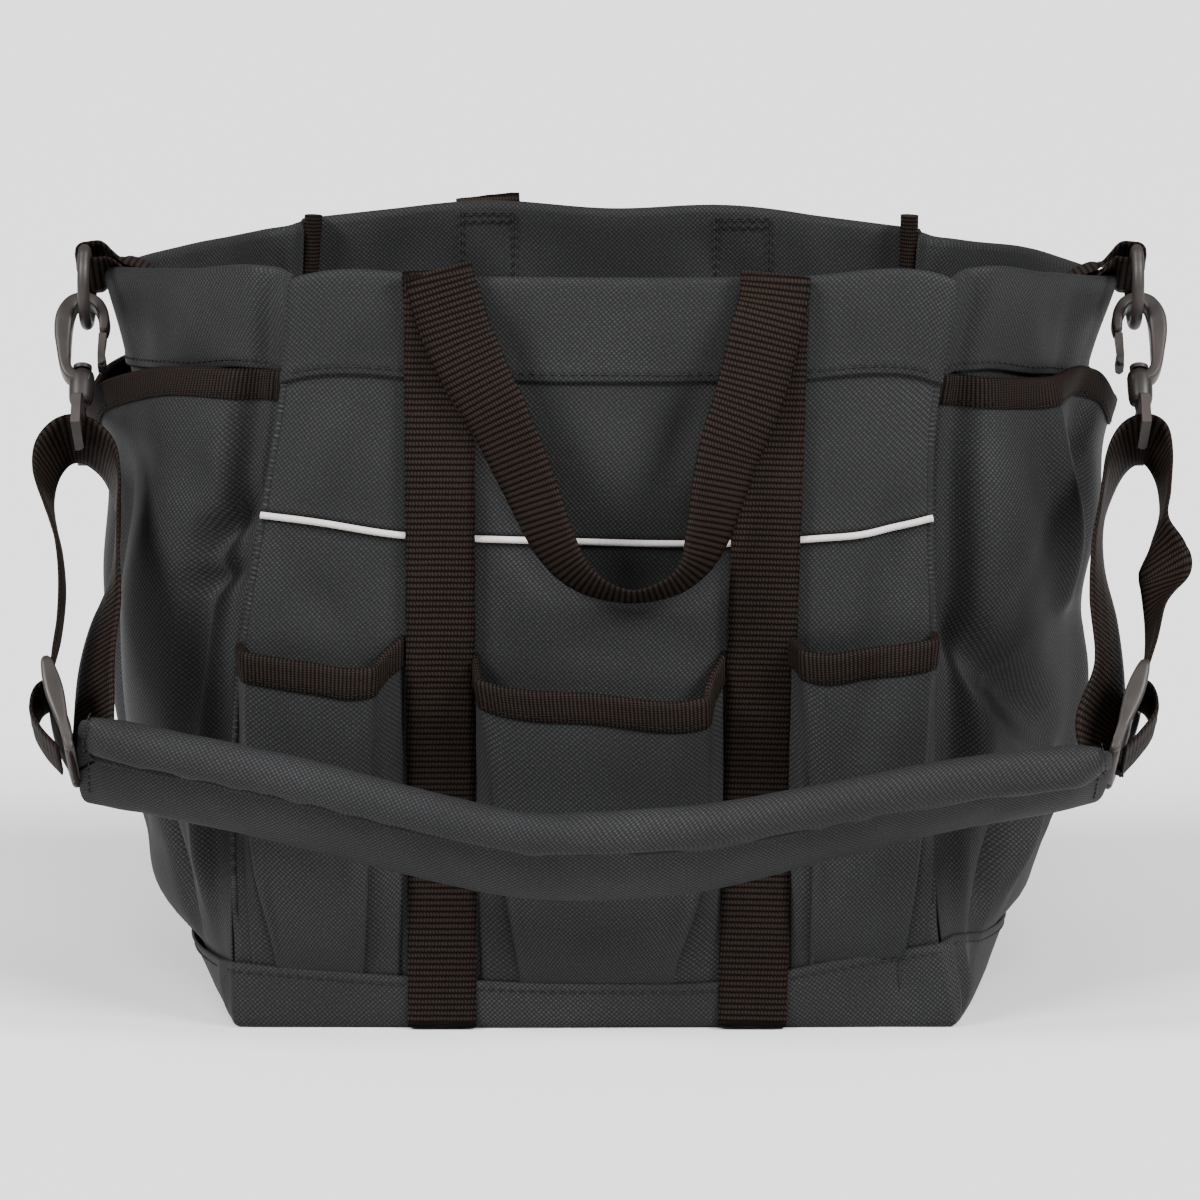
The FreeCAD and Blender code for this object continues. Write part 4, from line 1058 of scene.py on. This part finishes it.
HOOK_LINE = [  # out from the ring, down, and the bar's thickness against the usual
    (-3.2, 49.5, 0.8), (0.5, 49.0, 0.95), (4.2, 47.2, 1.0), (6.4, 43, 0.95), (7.2, 37, 1.15), (7.8, 29, 1.45),
    (7.4, 22.0, 1.5), (5.4, 17.0, 1.25), (2.4, 14.8, 1.0), (-1.2, 14.9, 0.95), (-4.6, 17.0, 0.95), (-6.7, 21, 0.95),
    (-7.4, 25.4, 0.9), (-7.2, 28.6, 0.7)]
BARREL_LINE = [  # down, and the barrel's size against its widest
    (45.6, 0.72), (46.2, 0.9), (48, 1.0), (52, 1.0), (56.5, 0.96), (58.4, 0.86), (59.0, 0.66)]


def make_hooks():
    """Each snap hook is a moulded bar bent round the ring, on a round barrel for the swivel."""
    down, wide = np.array(BARREL_LINE).T
    for side, name in SIDES.items():
        path = smooth_path([(side * (RING_X + out), 0, low, thick) for out, low, thick in HOOK_LINE], 0.8)
        size = np.stack([0.9 + 0 * path[:, 3], path[:, 3]], axis=1)
        bar = hung_bar(f"{name}_hook_bar", path[:, :3], rounded(4.3, 2.2, 1.3), size)
        centres = np.stack([side * RING_X + 0 * down, 0 * down, down], axis=1)
        barrel = sweep(f"{name}_hook_barrel", hung(centres), hung_way([[1.0, 0, 0]]), hung_way(ACROSS),
                       circle(4.7, 4.7, 24), PLASTIC, size=np.stack([wide, wide], axis=1))
        wear(f"{name}_hook", bar, f"{name}_hook")
        ride_all(f"{name}_hook", barrel)


def dress_hardware():
    """The rings, gates and swivel eyes are the CAD's own, with softened edges."""
    for side in SIDES.values():
        for part in ("d_ring", "hook_gate", "swivel_eye"):
            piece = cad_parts[f"{side}_{part}"]
            piece.data.materials.clear()
            piece.data.materials.append(PLASTIC)
            soften(piece, 0.8).angle_limit = math.radians(28)
            piece.modifiers.new("shading", "WEIGHTED_NORMAL")


# ---------------------------------------------------------------- pad

PAD_LINE = [  # x, down, and how far the pad turns its face up beyond the strap's own tilt, in degrees
    (-191, 204.2, 17), (-150, 213, 17), (-110, 222.6, 18), (-57, 236.8, 18), (-24, 242.4, 18), (24, 241.0, 17),
    (67, 232.6, 11), (120, 220.4, 5), (152, 215.2, 2), (178, 210.8, -2)]
PAD_SECTION = [  # across the pad, and out from its middle
    (-21.5, 0), (-20.8, 3.4), (-18.4, 6.2), (-15, 7.6), (-11.5, 7.4), (-8.6, 5.8), (-6.4, 3.6), (-4.6, 2.2),
    (-1.5, 3.0), (4, 3.8), (10, 3.8), (17, 3.0), (22.4, 1.4), (24, -0.6), (19, -3.2), (10, -5.4), (0, -6.4),
    (-9, -6.2), (-16, -4.8), (-20, -2.6)]
SEAM_COLUMN, EDGE_COLUMN = 7, 13
WRAP_COLUMNS = [16, 17, 18, 19, 0, 1, 2, 3, 4, 5, 6, 7]
WRAP_LIFT = np.array([0.1, 0.9, 1.3, 1.4, 1.5, 1.6, 1.7, 1.8, 1.9, 2.0, 2.4, 3.0])
ROLL_COLUMNS, FLAP_COLUMNS = [19, 0, 1, 2, 3, 4, 5, 6], [8, 9, 10, 11]      # sewn across at each end
PUFF_FRAMES = 20


def pad_points():
    path = smooth_path([(x, 0, down, tilt) for x, down, tilt in PAD_LINE], 5.0)
    tilt = np.radians(path[:, 3])
    path = path[:, :3]
    along = ways(path)
    out = unit(np.cross(along, np.stack([0 * tilt, np.cos(tilt), np.sin(tilt)], axis=1)))
    out = out * np.sign(out[:, 2:3])
    wide = unit(np.cross(out, along))
    wide = wide * np.sign(wide[:, 1:2])
    section = np.array(PAD_SECTION)
    run = lengths(path)
    thin = 0.16 + 0.84 * ease(np.minimum(run, run[-1] - run) / 16)
    return (path[:, None] + wide[:, None] * section[None, :, :1]
            + out[:, None] * section[None, :, 1:] * thin[:, None, None])


def puff(piece, pinned):
    """Blows the pad up against its seams, as cloth."""
    piece.vertex_groups.new(name="sewn").add(pinned, 1.0, "REPLACE")
    cloth = piece.modifiers.new("cloth", "CLOTH")
    settings = cloth.settings
    settings.quality = 6
    settings.mass = 0.3
    settings.tension_stiffness = settings.compression_stiffness = 30
    settings.shear_stiffness = 15
    settings.bending_stiffness = 6
    settings.use_pressure = True
    settings.uniform_pressure_force = 4
    settings.shrink_min = -0.004
    settings.vertex_group_mass = "sewn"
    settings.effector_weights.gravity = 0
    scene = bpy.context.scene
    for span in (cloth.point_cache, scene):
        span.frame_start, span.frame_end = 1, PUFF_FRAMES
    for moment in range(1, PUFF_FRAMES + 1):
        scene.frame_set(moment)
    shaped = piece.evaluated_get(bpy.context.evaluated_depsgraph_get())
    points = np.array([v.co for v in shaped.data.vertices]) / MM
    piece.modifiers.clear()
    scene.frame_set(1)
    return points


def make_pad():
    points = pad_points()
    rows, columns = points.shape[:2]
    flat = hung(points.reshape(-1, 3))
    noisy = flat + np.random.default_rng(7).normal(0, 0.08, flat.shape)
    girth, run = lengths(points[rows // 2]), lengths(points[:, 0])
    uv = np.stack(np.meshgrid(girth, run), axis=-1).reshape(-1, 2)
    body = new_mesh("pad_body", noisy, tube_faces(rows, columns), CLOTH, uv)
    index = np.arange(rows * columns).reshape(rows, columns)
    pinned = [*index[:, SEAM_COLUMN], *index[[0, 1, -2, -1]].ravel(), *index[:, EDGE_COLUMN]]
    flat = puff(body, [int(k) for k in pinned])
    for vertex, point in zip(body.data.vertices, flat):
        vertex.co = Vector(point * MM)
    grid = flat.reshape(rows, columns, 3)
    about = np.roll(grid, -1, axis=1) - np.roll(grid, 1, axis=1)
    out = unit(np.cross(np.gradient(grid, axis=0), about))
    middle = grid.mean(axis=1, keepdims=True)
    out = out * np.sign((out * (grid - middle)).sum(axis=-1, keepdims=True))
    wrap = grid[1:-1][:, WRAP_COLUMNS] + out[1:-1][:, WRAP_COLUMNS] * WRAP_LIFT[None, :, None]
    cover = sheet("pad_wrap", wrap, 1.1)
    for piece in (body, cover):
        smooth = piece.modifiers.new("smooth", "SUBSURF")
        smooth.levels, smooth.render_levels = 1, 2
    thread_rows = [(grid[end, row] + out[end, row] * high, out[end, row]) for end in (1, rows - 2)
                   for row, high in ((ROLL_COLUMNS, 2.4), (FLAP_COLUMNS, 0.4))]
    thread = stitches("pad_stitches", thread_rows, THREAD)
    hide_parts("pad_cover", "pad_foam", "pad_webbing")
    ride_all("shoulder_strap", body, cover, thread)


# ---------------------------------------------------------------- build and light

for make in (make_walls, make_rim, make_boot, make_piping, make_sewn_webbing, make_seam_tape, make_pockets,
             make_end_pockets, make_handles, make_box_stitches, make_ring_tabs, make_strap_loops, make_sliders,
             make_hooks, dress_hardware, make_pad):
    make()
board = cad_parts["base_board"]
board.data.materials.clear()
board.data.materials.append(BOARD)


def make_stage():
    """A plain pale floor, a soft sun from the front and a soft sun from each side, and the camera."""
    material, _, _ = new_material("paper", (0.88, 0.88, 0.88), 0.95, 0.1)
    corners = [(-9000, -4000, 0), (9000, -4000, 0), (9000, 14000, 0), (-9000, 14000, 0)]
    new_mesh("floor", corners, [(0, 1, 2, 3)], material)
    scene = bpy.context.scene
    scene.world = bpy.data.worlds.new("studio")
    scene.world.use_nodes = True
    background = scene.world.node_tree.nodes["Background"]
    background.inputs[0].default_value = (1, 1, 1, 1)
    background.inputs[1].default_value = 0.35
    for name, travel, energy in (("front_light", (-0.12, 1.0, -0.98), 1.2),
                                 ("left_light", (0.68, 0.42, -0.60), 5.0),
                                 ("right_light", (-0.68, 0.42, -0.60), 5.0)):
        data = bpy.data.lights.new(name, "SUN")
        data.energy, data.angle = energy, math.radians(22)
        lamp = bpy.data.objects.new(name, data)
        lamp.rotation_euler = Vector(travel).to_track_quat("-Z", "Y").to_euler()
        scene.collection.objects.link(lamp)
    lens = bpy.data.cameras.new("camera")
    lens.lens, lens.sensor_width = 159.24, 36
    camera = bpy.data.objects.new("camera", lens)
    camera.location = (-0.004, -1.98, 0.504)
    camera.rotation_euler = (math.pi / 2 - 0.1812, 0, 0)
    scene.collection.objects.link(camera)
    scene.camera = camera


make_stage()
